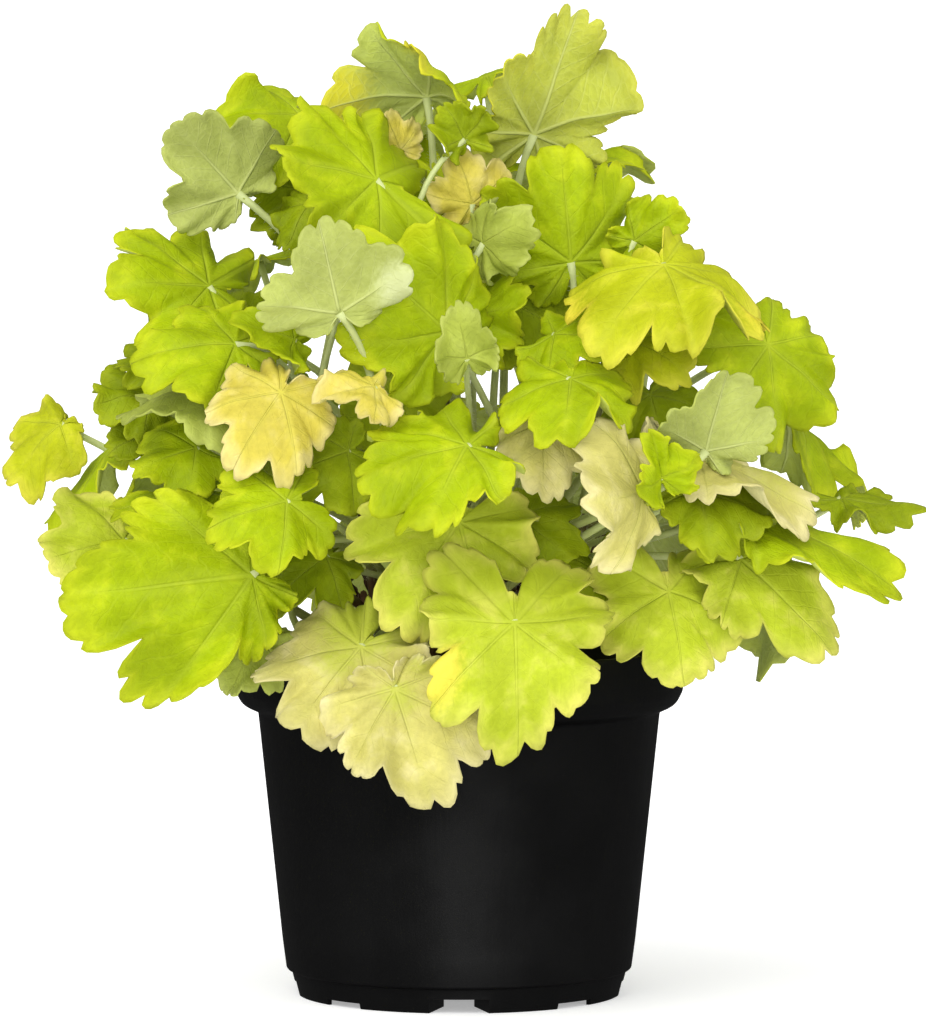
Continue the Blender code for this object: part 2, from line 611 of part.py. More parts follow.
def mesh_data(thing):
    points = np.array([tuple(vert.co) for vert in thing.data.vertices]) / MM
    thing.data.calc_loop_triangles()
    return points, [tuple(t.vertices) for t in thing.data.loop_triangles]


def back_leaves():
    # Rows of leaves over the back and sides, alternate ones set in, by a rule
    made = []
    draw = random.Random(SEED + 2)
    for row, (height, radius, first, last, count, size) in enumerate(BACK_ROWS):
        for k in range(count):
            bearing = math.radians(first + (last - first) * (k + 0.5 * (row % 2)) / (count - 1 + 0.5))
            bearing += draw.uniform(-BACK_STRAY_TURN, BACK_STRAY_TURN)
            out = np.array((math.cos(bearing), math.sin(bearing), 0.0))
            radial = radius - BACK_STEP * (k % 2) + draw.uniform(-BACK_STRAY_OUT, BACK_STRAY_OUT)
            root = out * radial + (0, 0, height + draw.uniform(-BACK_STRAY_UP, BACK_STRAY_UP))
            sideways = np.array((-out[1], out[0], 0.0)) * draw.uniform(-BACK_SWING, BACK_SWING)
            outward, upward = (first_row + step * row for first_row, step in (BACK_OUTWARD, BACK_UPWARD))
            along = unit(out * outward + sideways + (0, 0, upward))
            rise = BACK_FACE[1] + (height - DOME_MIDDLE[2]) / BACK_FACE_RISE
            face = unit(out * BACK_FACE[0] + (0, 0, rise))
            node = "shoot_back_%d" % (1 + int((math.degrees(bearing) + 30) / 240 * BACK_NODES))
            made.append(leaf("back_%d_%d" % (row, k), None, None,
                             size + draw.uniform(-BACK_STRAY_SIZE, BACK_STRAY_SIZE), droop=24, node=node,
                             tone=draw.choice(("lime", "lime", "yellow", "olive")),
                             place=(root, along, face)))
    return made


def blade_tries():
    # Pushes back, rolls and tilts to try, the smallest changes first
    found = []
    for push in (0, 4, -4, 8, -8, 12, 16, -12, 20, 26, 32, 38, 44):
        for roll in (0, 12, -12, 24, -24, 36, -36):
            for tilt in (0, -12, 12, -24, 24):
                cost = abs(push) / 9 + abs(roll) / 16 + abs(tilt) / 14
                found.append((cost, push, math.radians(roll), math.radians(tilt)))
    return [entry[1:] for entry in sorted(found)]


def place_blades(leaves, obstacles):
    tries = blade_tries()
    for item in leaves:
        shares, bearings, faces, item["inner"] = blade_sheet(item)
        flat = blade_points(item, shares, bearings)
        best = None
        for change in tries:
            sheet = placed(flat, leaf_frame(item, *change))
            points, solid = both_faces(sheet, faces, BLADE_HALF + BLADE_CLEARANCE)
            crossed = len(obstacles.hits(points, solid))
            if best is None or crossed < best[0]:
                best = (crossed, change, sheet, points)
            if not crossed:
                break
        item["frame"] = leaf_frame(item, *best[1])
        item["sheet"] = best[2]
        item["tree"] = BVHTree.FromPolygons(item["sheet"].tolist(), faces)
        item["faces"] = faces
        obstacles.add(best[3], solid, item["name"])


def stalk_controls(item, attempt, crown_tree, mother):
    # Control points of one curve that the stalk may take: the later the attempt, the more it may bend
    draw = random.Random(STALK_TRIES * item["seed"] + attempt)
    share = attempt / STALK_TRIES
    root, _, along, out = item["frame"]
    if mother:
        base, start = mother
        start = unit(MOTHER_HOLD * start + (1 - MOTHER_HOLD) * unit(root - base))
    else:
        spread = CROWN_SPREAD * share
        target = np.array(CROWN_AIM) + [draw.uniform(-spread, spread) for _ in range(3)]
        target[:2] += root[:2] * AIM_SHIFT
        above = root + (0, 0, LOOK_DOWN)
        hit, start, _, _ = crown_tree.ray_cast(Vector(above), Vector(unit(target - above)))
        if hit is None or start.z < LEAST_RISE:
            return None
        start = np.array(start)
        base = np.array(hit) + start * FIT_GAP
    reach = np.linalg.norm(root - base)
    way = unit(root - base)
    bulges = []
    for _ in range(2):
        bulge = np.array([draw.gauss(0, 1) for _ in range(3)])
        swell = STALK_SWELL * share ** 0.7 * reach * draw.uniform(0.2, 1)
        bulges.append(unit(bulge - way * bulge.dot(way)) * swell)
    arrive = unit(way * draw.uniform(*ARRIVE_STRAIGHT) + along * ARRIVE_ALONG + out * ARRIVE_OUT)
    if arrive.dot(out) < LEAST_ARRIVAL:
        level = unit(arrive - out * arrive.dot(out))
        arrive = level * math.sqrt(1 - LEAST_ARRIVAL ** 2) + out * LEAST_ARRIVAL
    hold = base + start * reach * STALK_HOLD + bulges[0]
    meet = root - arrive * reach * STALK_MEET + bulges[1]
    return base, hold, meet, root - out * BLADE_HALF


def curve_points(controls, steps):
    base, hold, meet, end = controls
    steps = steps[:, None]
    rest = 1 - steps
    return rest ** 3 * base + 3 * rest ** 2 * steps * hold + 3 * rest * steps ** 2 * meet + steps ** 3 * end


def stalk_rings(path, radii, sides, frame):
    # Rings of points down the stalk, the last one flat on the blade's underside
    _, across, along, out = frame
    ways = np.gradient(path, axis=0)
    turn = math.pi * (2 * np.arange(sides) + 1) / sides - math.pi
    rings = [path[-1] + radii[-1] * (np.sin(turn)[:, None] * across + np.cos(turn)[:, None] * along)]
    side = across
    for centre, way, radius in reversed(list(zip(path[:-1], ways[:-1], radii[:-1]))):
        way = unit(way)
        side = unit(side - way * side.dot(way))
        other = np.cross(way, side)
        rings.append(centre + radius * (np.sin(turn)[:, None] * side + np.cos(turn)[:, None] * other))
    return np.concatenate(rings[::-1])


def stalk_search(item, mates, obstacles, crown_tree, mother):
    # The first curve, from nearly straight to well bent, that crosses nothing, or the best one
    skip = [item["name"], "crown"] + ["stalk_" + mate for mate in mates]
    radii, sides, frame = item["radii"], item["sides"], item["frame"]
    faces, lower_faces = (tube_faces(len(STALK_STEPS) - short, sides) for short in (0, 1))
    best = None
    for attempt in range(STALK_TRIES):
        controls = stalk_controls(item, attempt, crown_tree, mother)
        if controls is None:
            continue
        path = curve_points(controls, STALK_STEPS)
        points = stalk_rings(path, radii, sides, frame).tolist()
        lower = BVHTree.FromPolygons(points[:-sides], lower_faces)
        pierces = bool(lower.overlap(item["tree"]))
        sunk = bool(BVHTree.FromPolygons(points, faces).overlap(crown_tree))
        cost = PIERCE_COST * pierces + SUNK_COST * sunk
        if best and cost >= best[0]:
            continue
        found = obstacles.hits(stalk_rings(path, radii + STALK_CLEARANCE, sides, frame), faces, skip)
        fixed = sum(not owner.startswith("stalk_") for owner in found)
        score = len(found) + fixed + cost
        if best is None or score < best[0]:
            best = (score, path, found)
        if score == 0:
            break
    return best[1:]


def place_stalks(leaves, obstacles, crown_tree):
    # Shortest stalks first. A stalk in the way of a later one is laid again after it
    mothers, turns = {}, {}
    sizes = {item["node"]: 0 for item in leaves}
    for item in leaves:
        sizes[item["node"]] += 1
        item["sides"] = 3 if item["place"] or item["size"] < BIG_LEAF else 4
        item["radii"] = STALK_RADII * (1.0 if item["size"] >= BIG_LEAF else SMALL_STALK)
    queue = sorted(leaves, key=lambda item: np.linalg.norm(item["frame"][0] - CROWN_AIM))
    named = {item["name"]: item for item in leaves}
    while queue:
        item = queue.pop(0)
        mates = [other["name"] for other in leaves if other["node"] == item["node"]]
        path, found = stalk_search(item, mates, obstacles, crown_tree, mothers.get(item["node"]))
        for owner in found:
            other = named.get(owner.removeprefix("stalk_"))
            free = owner.startswith("stalk_") and sizes[other["node"]] == 1
            if free and turns.get(owner, 0) < MOST_RELAYS:
                turns[owner] = turns.get(owner, 0) + 1
                obstacles.remove(owner)
                queue.append(other)
        if sizes[item["node"]] > 1 and item["node"] not in mothers:
            mothers[item["node"]] = (path[BRANCH_STEP], unit(path[BRANCH_STEP + 1] - path[BRANCH_STEP]))
        item["path"] = path
        obstacles.add(stalk_rings(path, item["radii"] + STALK_CLEARANCE, item["sides"], item["frame"]),
                      tube_faces(len(path), item["sides"]), "stalk_" + item["name"])


def leaf_solid(item):
    # The blade and its stalk as one closed skin: the stalk grows out of the underside's middle
    points, faces = both_faces(item["sheet"], item["faces"], BLADE_HALF)
    total, inner, sides = len(item["sheet"]), len(item["inner"]), item["sides"]
    tube = stalk_rings(item["path"], item["radii"], sides, item["frame"])
    shift = len(points)
    solid = [face for face in faces if total not in face]
    solid += [tuple(k + shift for k in face) for face in tube_faces(len(item["path"]), sides, capped=False)]
    last = shift + len(tube) - sides
    ends = [180 * (2 * k + 1) / sides - 180 for k in range(sides)]
    ends.append(ends[0] + 360)
    rim = list(item["inner"]) + [item["inner"][0] + 360]
    i = j = 0
    while i < sides or j < inner:
        if i < sides and (j == inner or ends[i + 1] <= rim[j + 1]):
            solid.append((last + i % sides, total + 1 + j % inner, last + (i + 1) % sides))
            i += 1
        else:
            solid.append((last + i % sides, total + 1 + j % inner, total + 1 + (j + 1) % inner))
            j += 1
    points = np.concatenate((points, tube))
    used = [k for k in range(len(points)) if k != total]
    order = {k: n for n, k in enumerate(used)}
    return points[used], [tuple(order[k] for k in face) for face in solid]


def fuse_crossing(leaves):
    # Leaves that still cross those of another node join that node
    trees = []
    for item in leaves:
        points, faces = leaf_solid(item)
        trees.append(BVHTree.FromPolygons(points.tolist(), faces))
    for k, item in enumerate(leaves):
        for n in range(k):
            if item["node"] == leaves[n]["node"]:
                continue
            if trees[k].overlap(trees[n]):
                lost, kept = sorted((item["node"], leaves[n]["node"]), key=lambda node: node[:5] != "leaf_")
                for other in leaves:
                    if other["node"] == lost:
                        other["node"] = kept


def make_leaves(solids):
    leaves = sorted((dict(item) for item in FRONT_LEAVES), key=lambda item: item["back"])
    leaves += back_leaves()
    obstacles = Obstacles()
    for thing in solids:
        obstacles.add(*mesh_data(thing), thing.name)
    points, faces = mesh_data(solids[-1])
    crown_tree = BVHTree.FromPolygons(points.tolist(), faces)
    place_blades(leaves, obstacles)
    place_stalks(leaves, obstacles, crown_tree)
    fuse_crossing(leaves)
    finishes = {tone: material("leaf_" + tone, colour, 0.5) for tone, colour in COLOURS.items()}
    nodes = {}
    for item in leaves:
        nodes.setdefault(item["node"], []).append(item)
    for node, members in nodes.items():
        pieces = [solid_from(node if item is members[0] else "piece", *leaf_solid(item),
                             finishes[item["tone"]]) for item in members]
        if len(pieces) > 1:
            apply_boolean(pieces[0], pieces[1:], "UNION", "MANIFOLD")


clear_scene()
pot = make_pot()
soil = make_soil()
crown = make_crown()
make_leaves([pot, soil, crown])
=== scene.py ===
import collections
import itertools
import math
import random

import bmesh
import bpy
import numpy as np
from mathutils import Matrix, Vector, noise
from mathutils.bvhtree import BVHTree
from mathutils.kdtree import KDTree


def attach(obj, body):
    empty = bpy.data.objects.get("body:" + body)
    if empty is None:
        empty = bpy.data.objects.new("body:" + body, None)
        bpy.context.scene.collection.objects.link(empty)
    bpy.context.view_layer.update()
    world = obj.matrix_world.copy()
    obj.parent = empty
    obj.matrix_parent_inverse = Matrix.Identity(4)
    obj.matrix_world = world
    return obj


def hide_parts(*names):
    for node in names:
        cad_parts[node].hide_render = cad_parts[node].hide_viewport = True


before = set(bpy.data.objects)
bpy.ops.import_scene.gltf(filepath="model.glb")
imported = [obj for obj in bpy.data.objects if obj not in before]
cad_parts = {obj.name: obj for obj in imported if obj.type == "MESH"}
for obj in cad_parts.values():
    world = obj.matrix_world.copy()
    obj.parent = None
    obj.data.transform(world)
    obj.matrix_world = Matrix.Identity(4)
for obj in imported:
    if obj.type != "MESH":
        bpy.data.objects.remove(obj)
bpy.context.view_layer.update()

mm = 0.001
scene = bpy.context.scene


# Helpers for meshes and materials

def finishedObject(name, bm, materials):
    mesh = bpy.data.meshes.new(name)
    bm.to_mesh(mesh)
    bm.free()
    for entry in materials:
        mesh.materials.append(entry)
    made = bpy.data.objects.new(name, mesh)
    scene.collection.objects.link(made)
    mesh.shade_smooth()
    return made


def repeated(name, shape, count, **settings):
    # A mesh of many copies of one bmesh shape, and the corners of the one
    one = bmesh.new()
    shape(one, **settings)
    single = bpy.data.meshes.new("single")
    one.to_mesh(single)
    one.free()
    many = bmesh.new()
    for _ in range(count):
        many.from_mesh(single)
    mesh = bpy.data.meshes.new(name)
    many.to_mesh(mesh)
    many.free()
    corners = coordinates(single)
    bpy.data.meshes.remove(single)
    return mesh, corners


def coordinates(mesh):
    flat = np.empty(len(mesh.vertices) * 3)
    mesh.vertices.foreach_get("co", flat)
    return flat.reshape(-1, 3)


def setCoordinates(mesh, points):
    mesh.vertices.foreach_set("co", np.asarray(points, np.float32).ravel())
    mesh.update()


def pointAttribute(mesh, name, values):
    # A number or a vector for each point
    values = np.asarray(values, np.float32)
    kind, field = ("FLOAT", "value") if values.ndim == 1 else ("FLOAT_VECTOR", "vector")
    made = mesh.attributes.new(name, kind, "POINT")
    made.data.foreach_set(field, values.ravel())


def shaderMaterial(name, roughness, specular=0.5):
    made = bpy.data.materials.new(name)
    made.use_nodes = True
    shader = made.node_tree.nodes["Principled BSDF"]
    shader.inputs["Roughness"].default_value = roughness
    shader.inputs["Specular IOR Level"].default_value = specular
    return made, made.node_tree, shader


def addNode(tree, kind, values=None, **settings):
    made = tree.nodes.new(kind)
    for key, value in settings.items():
        setattr(made, key, value)
    for key, value in (values or {}).items():
        made.inputs[key].default_value = value
    return made


def objectPlace(tree):
    return addNode(tree, "ShaderNodeTexCoord").outputs["Object"]


def stretched(tree, place, scale):
    made = addNode(tree, "ShaderNodeMapping", {"Scale": scale})
    tree.links.new(place, made.inputs["Vector"])
    return made.outputs["Vector"]


def attributeValue(tree, name, output):
    return addNode(tree, "ShaderNodeAttribute", attribute_name=name).outputs[output]


def maths(tree, operation, *values):
    # A Math node whose inputs are numbers or sockets
    made = addNode(tree, "ShaderNodeMath", operation=operation)
    for k, value in enumerate(values):
        if isinstance(value, (int, float)):
            made.inputs[k].default_value = value
        else:
            tree.links.new(value, made.inputs[k])
    return made.outputs[0]


def mixColours(tree, share, first, second, blend="MIX"):
    made = addNode(tree, "ShaderNodeMix", data_type="RGBA", blend_type=blend)
    for key, value in ((0, share), (6, first), (7, second)):
        if isinstance(value, (int, float)):
            made.inputs[key].default_value = value
        elif isinstance(value, tuple):
            made.inputs[key].default_value = (*value, 1.0)
        else:
            tree.links.new(value, made.inputs[key])
    return made.outputs[2]


def smoothRange(tree, value, low, high, toLow=0.0, toHigh=1.0):
    made = addNode(tree, "ShaderNodeMapRange", interpolation_type="SMOOTHSTEP")
    tree.links.new(value, made.inputs[0])
    for key, number in zip((1, 2, 3, 4), (low, high, toLow, toHigh)):
        made.inputs[key].default_value = number
    return made.outputs[0]


def noiseValue(tree, vector, scale, detail=3.0, roughness=0.55):
    made = addNode(tree, "ShaderNodeTexNoise", {"Scale": scale, "Detail": detail, "Roughness": roughness})
    tree.links.new(vector, made.inputs["Vector"])
    return made.outputs["Fac"]


def addLook(tree, shader, colour, roughness=None):
    tree.links.new(colour, shader.inputs["Base Color"])
    if roughness is not None:
        tree.links.new(roughness, shader.inputs["Roughness"])


def addBump(tree, shader, height, distance, strength=1.0):
    made = addNode(tree, "ShaderNodeBump", {"Distance": distance, "Strength": strength})
    tree.links.new(height, made.inputs["Height"])
    tree.links.new(made.outputs["Normal"], shader.inputs["Normal"])


def newGroup(name, inputs, outputs):
    # A shader node group with named sockets, and its input and output nodes
    tree = bpy.data.node_groups.new(name, "ShaderNodeTree")
    for label, kind, value in inputs:
        socket = tree.interface.new_socket(label, in_out="INPUT", socket_type=kind)
        if value is not None:
            socket.default_value = value
    for label, kind in outputs:
        tree.interface.new_socket(label, in_out="OUTPUT", socket_type=kind)
    return tree, tree.nodes.new("NodeGroupInput"), tree.nodes.new("NodeGroupOutput")


def placeGroup(tree, group, values, links):
    made = addNode(tree, "ShaderNodeGroup", node_tree=group)
    for key, value in values.items():
        made.inputs[key].default_value = value
    for key, socket in links.items():
        tree.links.new(socket, made.inputs[key])
    return made


# Camera, floor and light

view = {
    "eye": (0.0, -2.8, 0.375),
    "target": (0.0015, 0.0, 0.182),
    "lens": 262.0,
    "sensor": 36.0,
    "farthest": 200.0,
    "floorRadius": 40.0,
    "floorSides": 96,
    "floorColour": (0.90, 0.90, 0.90, 1.0),
    "floorGlow": 0.37,
    "floorFinish": (0.8, 0.1),       # roughness and specular level, as in the other finishes
    "white": (1.0, 1.0, 1.0, 1.0),
    "backdrop": 1.3,                 # the sky's strength where the camera sees it
    "skyLight": 0.78,                # its strength as light
    "skyDulled": 0.72,               # how much less of it shows in reflections
    "suns": (("key", 1.6, 40.0, (46.0, 0.0, -28.0)), ("fill", 0.4, 40.0, (62.0, 0.0, 55.0)),
             ("front", 0.7, 24.0, (78.0, 0.0, 1.0)), ("sheen", 0.9, 12.0, (90.0, 0.0, 2.0))),
}


def makeCamera():
    lens = bpy.data.cameras.new("camera")
    lens.lens = view["lens"]
    lens.sensor_width = view["sensor"]
    lens.clip_end = view["farthest"]
    camera = bpy.data.objects.new("camera", lens)
    scene.collection.objects.link(camera)
    camera.location = view["eye"]
    camera.rotation_euler = (Vector(view["target"]) - camera.location).to_track_quat("-Z", "Y").to_euler()
    bpy.context.scene.camera = camera
    scene.view_settings.view_transform = "Standard"


def makeFloor():
    bm = bmesh.new()
    bmesh.ops.create_circle(bm, cap_ends=True, segments=view["floorSides"], radius=view["floorRadius"])
    finish, _, shader = shaderMaterial("paleFloor", *view["floorFinish"])
    shader.inputs["Base Color"].default_value = view["floorColour"]
    shader.inputs["Emission Color"].default_value = view["white"]
    shader.inputs["Emission Strength"].default_value = view["floorGlow"]
    floor = finishedObject("floor", bm, [finish])
    floor.visible_glossy = False     # so that it doesn't turn the black pot grey


def makeLights():
    sky = bpy.data.worlds.new("studio")
    scene.world = sky
    sky.use_nodes = True
    tree = sky.node_tree
    back = tree.nodes["Background"]
    back.inputs["Color"].default_value = view["white"]
    ray = addNode(tree, "ShaderNodeLightPath").outputs
    more = view["backdrop"] - view["skyLight"]
    seen = maths(tree, "MULTIPLY_ADD", ray["Is Camera Ray"], more, view["skyLight"])
    strength = maths(tree, "MULTIPLY_ADD", ray["Is Glossy Ray"], -view["skyDulled"], seen)
    tree.links.new(strength, back.inputs["Strength"])
    for name, power, spread, turn in view["suns"]:
        lamp = bpy.data.lights.new(name, "SUN")
        lamp.energy = power
        lamp.angle = math.radians(spread)
        holder = bpy.data.objects.new(name, lamp)
        holder.rotation_euler = [math.radians(angle) for angle in turn]
        holder.visible_diffuse = name != "sheen"     # the sheen light shows as gloss alone
        scene.collection.objects.link(holder)


makeCamera()
makeFloor()
makeLights()
print("studio ready")


# Pot

pot = {
    "sides": 192,
    "outer": ((59.8, 0.0, 0.0), (61.0, 0.0, 0.8), (63.3, 9.2, 0.5), (65.2, 9.8, 0.7), (66.7, 21.0, 0.0),
              (75.8, 107.2, 1.2), (82.0, 110.0, 2.2), (84.5, 115.0, 1.2), (85.0, 132.0, 0.7)),
    "inner": ((83.3, 132.0, 0.5), (82.9, 116.4, 1.5), (74.3, 109.0, 2.0), (65.0, 20.0, 3.0),
              (61.4, 8.4, 1.0)),
    "baseUnderside": 6.6,
    "footInner": 59.2,
    "cornerSteps": 3,
    "sharpAngle": 35,
    "notches": ((4, 0.0, 11.2, 5.4), (4, 0.5, 8.6, 2.2)),   # count, turn in steps, half width, height
    "notchCut": (22, 62, 2),         # length, distance from the axis, overshoot below
    "cheek": (20.0, 1.6, 7.5),       # length, thickness, height
    "cheekOffset": 5.5,
    "cheekOverlap": 0.8,
    "drains": (4, 44.0, 4.5),        # count round the middle one, their circle, radius
    "drainCut": (12, 7.5, 32),       # depth, middle height, sides
    "finish": (0.42, 0.38),
    "blacks": ((0.0022, 0.0022, 0.0023), (0.0036, 0.0036, 0.0037)),
    "clouds": (28.0, 4.0),           # scale, detail and roughness of this and the other noises
    "roughness": (0.3, 0.7, 0.36, 0.50),     # from these noise values to these, and so below
    "dust": (0.05, 0.047, 0.044),
    "dustShare": 0.20,
    "dustSpecks": (900.0, 2.0, 0.7),
    "dustFrom": (0.70, 0.78),
    "grain": (2600.0, 2.0, 0.6),
    "streakScale": (420.0, 420.0, 16.0),
    "streaks": (1.0, 2.0),
    "streakShare": 1.4,
    "relief": (0.00006, 0.8),
}


def roundedSection(points, steps):
    # The section's corners rounded to their own radii, as (radius, height) pairs
    made = []
    for k, (x, z, radius) in enumerate(points):
        corner = Vector((x, z))
        if radius == 0 or k in (0, len(points) - 1):
            made.append(corner)
            continue
        before = Vector(points[k - 1][:2]) - corner
        after = Vector(points[k + 1][:2]) - corner
        reach = min(radius, before.length * 0.45, after.length * 0.45)
        start, end = corner + before.normalized() * reach, corner + after.normalized() * reach
        for n in range(steps + 1):
            t = n / steps
            made.append(start.lerp(corner, t).lerp(corner.lerp(end, t), t))
    return made


def makePotMaterial():
    finish, tree, shader = shaderMaterial("blackPlastic", *pot["finish"])
    place = objectPlace(tree)
    cloud = noiseValue(tree, place, *pot["clouds"])
    specks = smoothRange(tree, noiseValue(tree, place, *pot["dustSpecks"]), *pot["dustFrom"])
    colour = mixColours(tree, cloud, *pot["blacks"])
    colour = mixColours(tree, maths(tree, "MULTIPLY", specks, pot["dustShare"]), colour, pot["dust"])
    addLook(tree, shader, colour, smoothRange(tree, cloud, *pot["roughness"]))
    streaks = noiseValue(tree, stretched(tree, place, pot["streakScale"]), *pot["streaks"])
    height = maths(tree, "MULTIPLY_ADD", streaks, pot["streakShare"], noiseValue(tree, place, *pot["grain"]))
    addBump(tree, shader, height, *pot["relief"])
    return finish


def makePot():
    bm = bmesh.new()
    outline = roundedSection(pot["outer"] + pot["inner"], pot["cornerSteps"])
    outline += [Vector((0.0, pot["inner"][-1][1])), Vector((0.0, pot["baseUnderside"])),
                Vector((pot["footInner"], pot["baseUnderside"])), Vector((pot["footInner"], 0.0))]
    ring = [bm.verts.new((point.x * mm, 0.0, point.y * mm)) for point in outline]
    edges = [bm.edges.new(pair) for pair in zip(ring, ring[1:] + ring[:1])
             if pair[0].co.x > 0 or pair[1].co.x > 0]
    bmesh.ops.spin(bm, geom=ring + edges, cent=(0, 0, 0), axis=(0, 0, 1), dvec=(0, 0, 0),
                   angle=math.tau, steps=pot["sides"], use_merge=True)
    bmesh.ops.remove_doubles(bm, verts=bm.verts, dist=1e-6)
    bmesh.ops.recalc_face_normals(bm, faces=bm.faces)
    made = finishedObject("nurseryPot", bm, [makePotMaterial()])

    cutters = bmesh.new()
    length, out, below = pot["notchCut"]
    for count, shift, halfWidth, height in pot["notches"]:
        for k in range(count):
            bearing = math.tau * (k + shift) / count
            box = bmesh.ops.create_cube(cutters, size=1.0)["verts"]
            bmesh.ops.scale(cutters, vec=(length * mm, 2 * halfWidth * mm, (height + below) * mm), verts=box)
            bmesh.ops.translate(cutters, vec=(out * mm, 0, (height / 2 - below / 2) * mm), verts=box)
            bmesh.ops.rotate(cutters, cent=(0, 0, 0), matrix=Matrix.Rotation(bearing, 3, "Z"), verts=box)
    count, circle, radius = pot["drains"]
    depth, middle, sides = pot["drainCut"]
    places = [(0.0, 0.0)] + [(circle * math.cos(math.tau * (k + 0.5) / count),
                              circle * math.sin(math.tau * (k + 0.5) / count)) for k in range(count)]
    for x, y in places:
        rod = bmesh.ops.create_cone(cutters, cap_ends=True, segments=sides, radius1=radius * mm,
                                    radius2=radius * mm, depth=depth * mm)["verts"]
        bmesh.ops.translate(cutters, vec=(x * mm, y * mm, middle * mm), verts=rod)

    cheeks = bmesh.new()
    length, thickness, tall = pot["cheek"]
    count, _, halfWidth, _ = pot["notches"][0]
    slant = math.atan2(halfWidth - pot["cheekOffset"], length)
    for k in range(count):
        for side in (-1, 1):
            box = bmesh.ops.create_cube(cheeks, size=1.0)["verts"]
            bmesh.ops.scale(cheeks, vec=(length * mm, thickness * mm, tall * mm), verts=box)
            out = pot["footInner"] + pot["cheekOverlap"] - length / 2
            across = side * ((halfWidth + pot["cheekOffset"]) / 2 + thickness / 2)
            move = (Matrix.Rotation(math.tau * k / count, 4, "Z")
                    @ Matrix.Translation((out * mm, across * mm, tall / 2 * mm))
                    @ Matrix.Rotation(side * slant, 4, "Z"))
            bmesh.ops.transform(cheeks, matrix=move, verts=box)
    cutBoolean(made, finishedObject("cutters", cutters, []), "DIFFERENCE")
    cutBoolean(made, finishedObject("cheeks", cheeks, []), "UNION")
    made.data.set_sharp_from_angle(angle=math.radians(pot["sharpAngle"]))
    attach(made, "root")
    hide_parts("pot")


def cutBoolean(body, other, operation):
    step = body.modifiers.new("cut", "BOOLEAN")
    step.operation = operation
    step.object = other
    step.use_self = True
    applyModifiers(body)
    bpy.data.objects.remove(other, do_unlink=True)


def applyModifiers(body):
    graph = bpy.context.evaluated_depsgraph_get()
    made = bpy.data.meshes.new_from_object(body.evaluated_get(graph))
    body.modifiers.clear()
    body.data = made


makePot()
print("pot ready")


# Soil

soil = {
    "seed": 11,
    "radius": 82.3,
    "heights": ((17.0, 26.0, 40.0, 62.0, 82.3), (120.6, 120.4, 119.6, 118.6, 117.5)),   # at these radii
    "rings": 64,
    "sides": 220,
    "lumps": 1.6,
    "lumpNoise": (0.9, 2.1, 5),
    "lumpScale": 0.10,
    "lumpFade": 3.0,
    "wall": (3.0, 0.985),            # its height, and how far it draws in
    "crumbs": 1500,
    "crumbSize": (0.5, 2.1),
    "crumbsFrom": 19.0,
    "crumbsInset": 21.0,
    "crumbLift": (-0.2, 0.9),
    "crumbStretch": ((0.6, 1.3), (0.6, 1.8), (0.5, 0.9)),
    "crumbTilt": 0.6,
    "crumbRough": (0.75, 1.2),
    "coarse": (160.0, 4.0, 0.7),
    "fine": (900.0, 3.0, 0.7),
    "browns": ((0.016, 0.010, 0.006), (0.075, 0.045, 0.026)),
    "brownFrom": (0.35, 0.68),
    "bits": (0.16, 0.10, 0.06),
    "bitsFrom": (0.60, 0.74),
    "finish": (0.92, 0.25),
    "roughness": (0.3, 0.7, 0.80, 0.98),
    "relief": (0.0012, 0.9),
}


def makeSoilMaterial():
    finish, tree, shader = shaderMaterial("pottingMix", *soil["finish"])
    place = objectPlace(tree)
    coarse = noiseValue(tree, place, *soil["coarse"])
    fine = noiseValue(tree, place, *soil["fine"])
    colour = mixColours(tree, smoothRange(tree, coarse, *soil["brownFrom"]), *soil["browns"])
    colour = mixColours(tree, smoothRange(tree, fine, *soil["bitsFrom"]), colour, soil["bits"])
    addLook(tree, shader, colour, smoothRange(tree, fine, *soil["roughness"]))
    addBump(tree, shader, maths(tree, "ADD", coarse, fine), *soil["relief"])
    return finish


def soilHeight(radius):
    return float(np.interp(radius, *soil["heights"]))


def crumbMesh():
    draw = random.Random(soil["seed"])
    mesh, corners = repeated("crumbs", bmesh.ops.create_icosphere, soil["crumbs"], subdivisions=1, radius=1.0)
    lumps = []
    for _ in range(soil["crumbs"]):
        bearing, share = draw.uniform(0, math.tau), draw.random()
        radius = soil["crumbsFrom"] + (soil["radius"] - soil["crumbsInset"]) * math.sqrt(share)
        height = soilHeight(radius) + draw.uniform(*soil["crumbLift"])
        size = draw.uniform(*soil["crumbSize"]) * mm
        stretch = Vector([draw.uniform(*span) for span in soil["crumbStretch"]]) * size
        turn = Matrix.Rotation(draw.uniform(0, math.tau), 4, "Z")
        tilt = Matrix.Rotation(draw.uniform(-soil["crumbTilt"], soil["crumbTilt"]), 4, "X")
        place = Vector((radius * math.cos(bearing), radius * math.sin(bearing), height)) * mm
        move = np.array(Matrix.Translation(place) @ (turn @ tilt) @ Matrix.Diagonal((*stretch, 1.0)))
        rough = corners * np.array([[draw.uniform(*soil["crumbRough"])] for _ in corners])
        lumps.append(rough @ move[:3, :3].T + move[:3, 3])
    setCoordinates(mesh, np.concatenate(lumps))
    return mesh


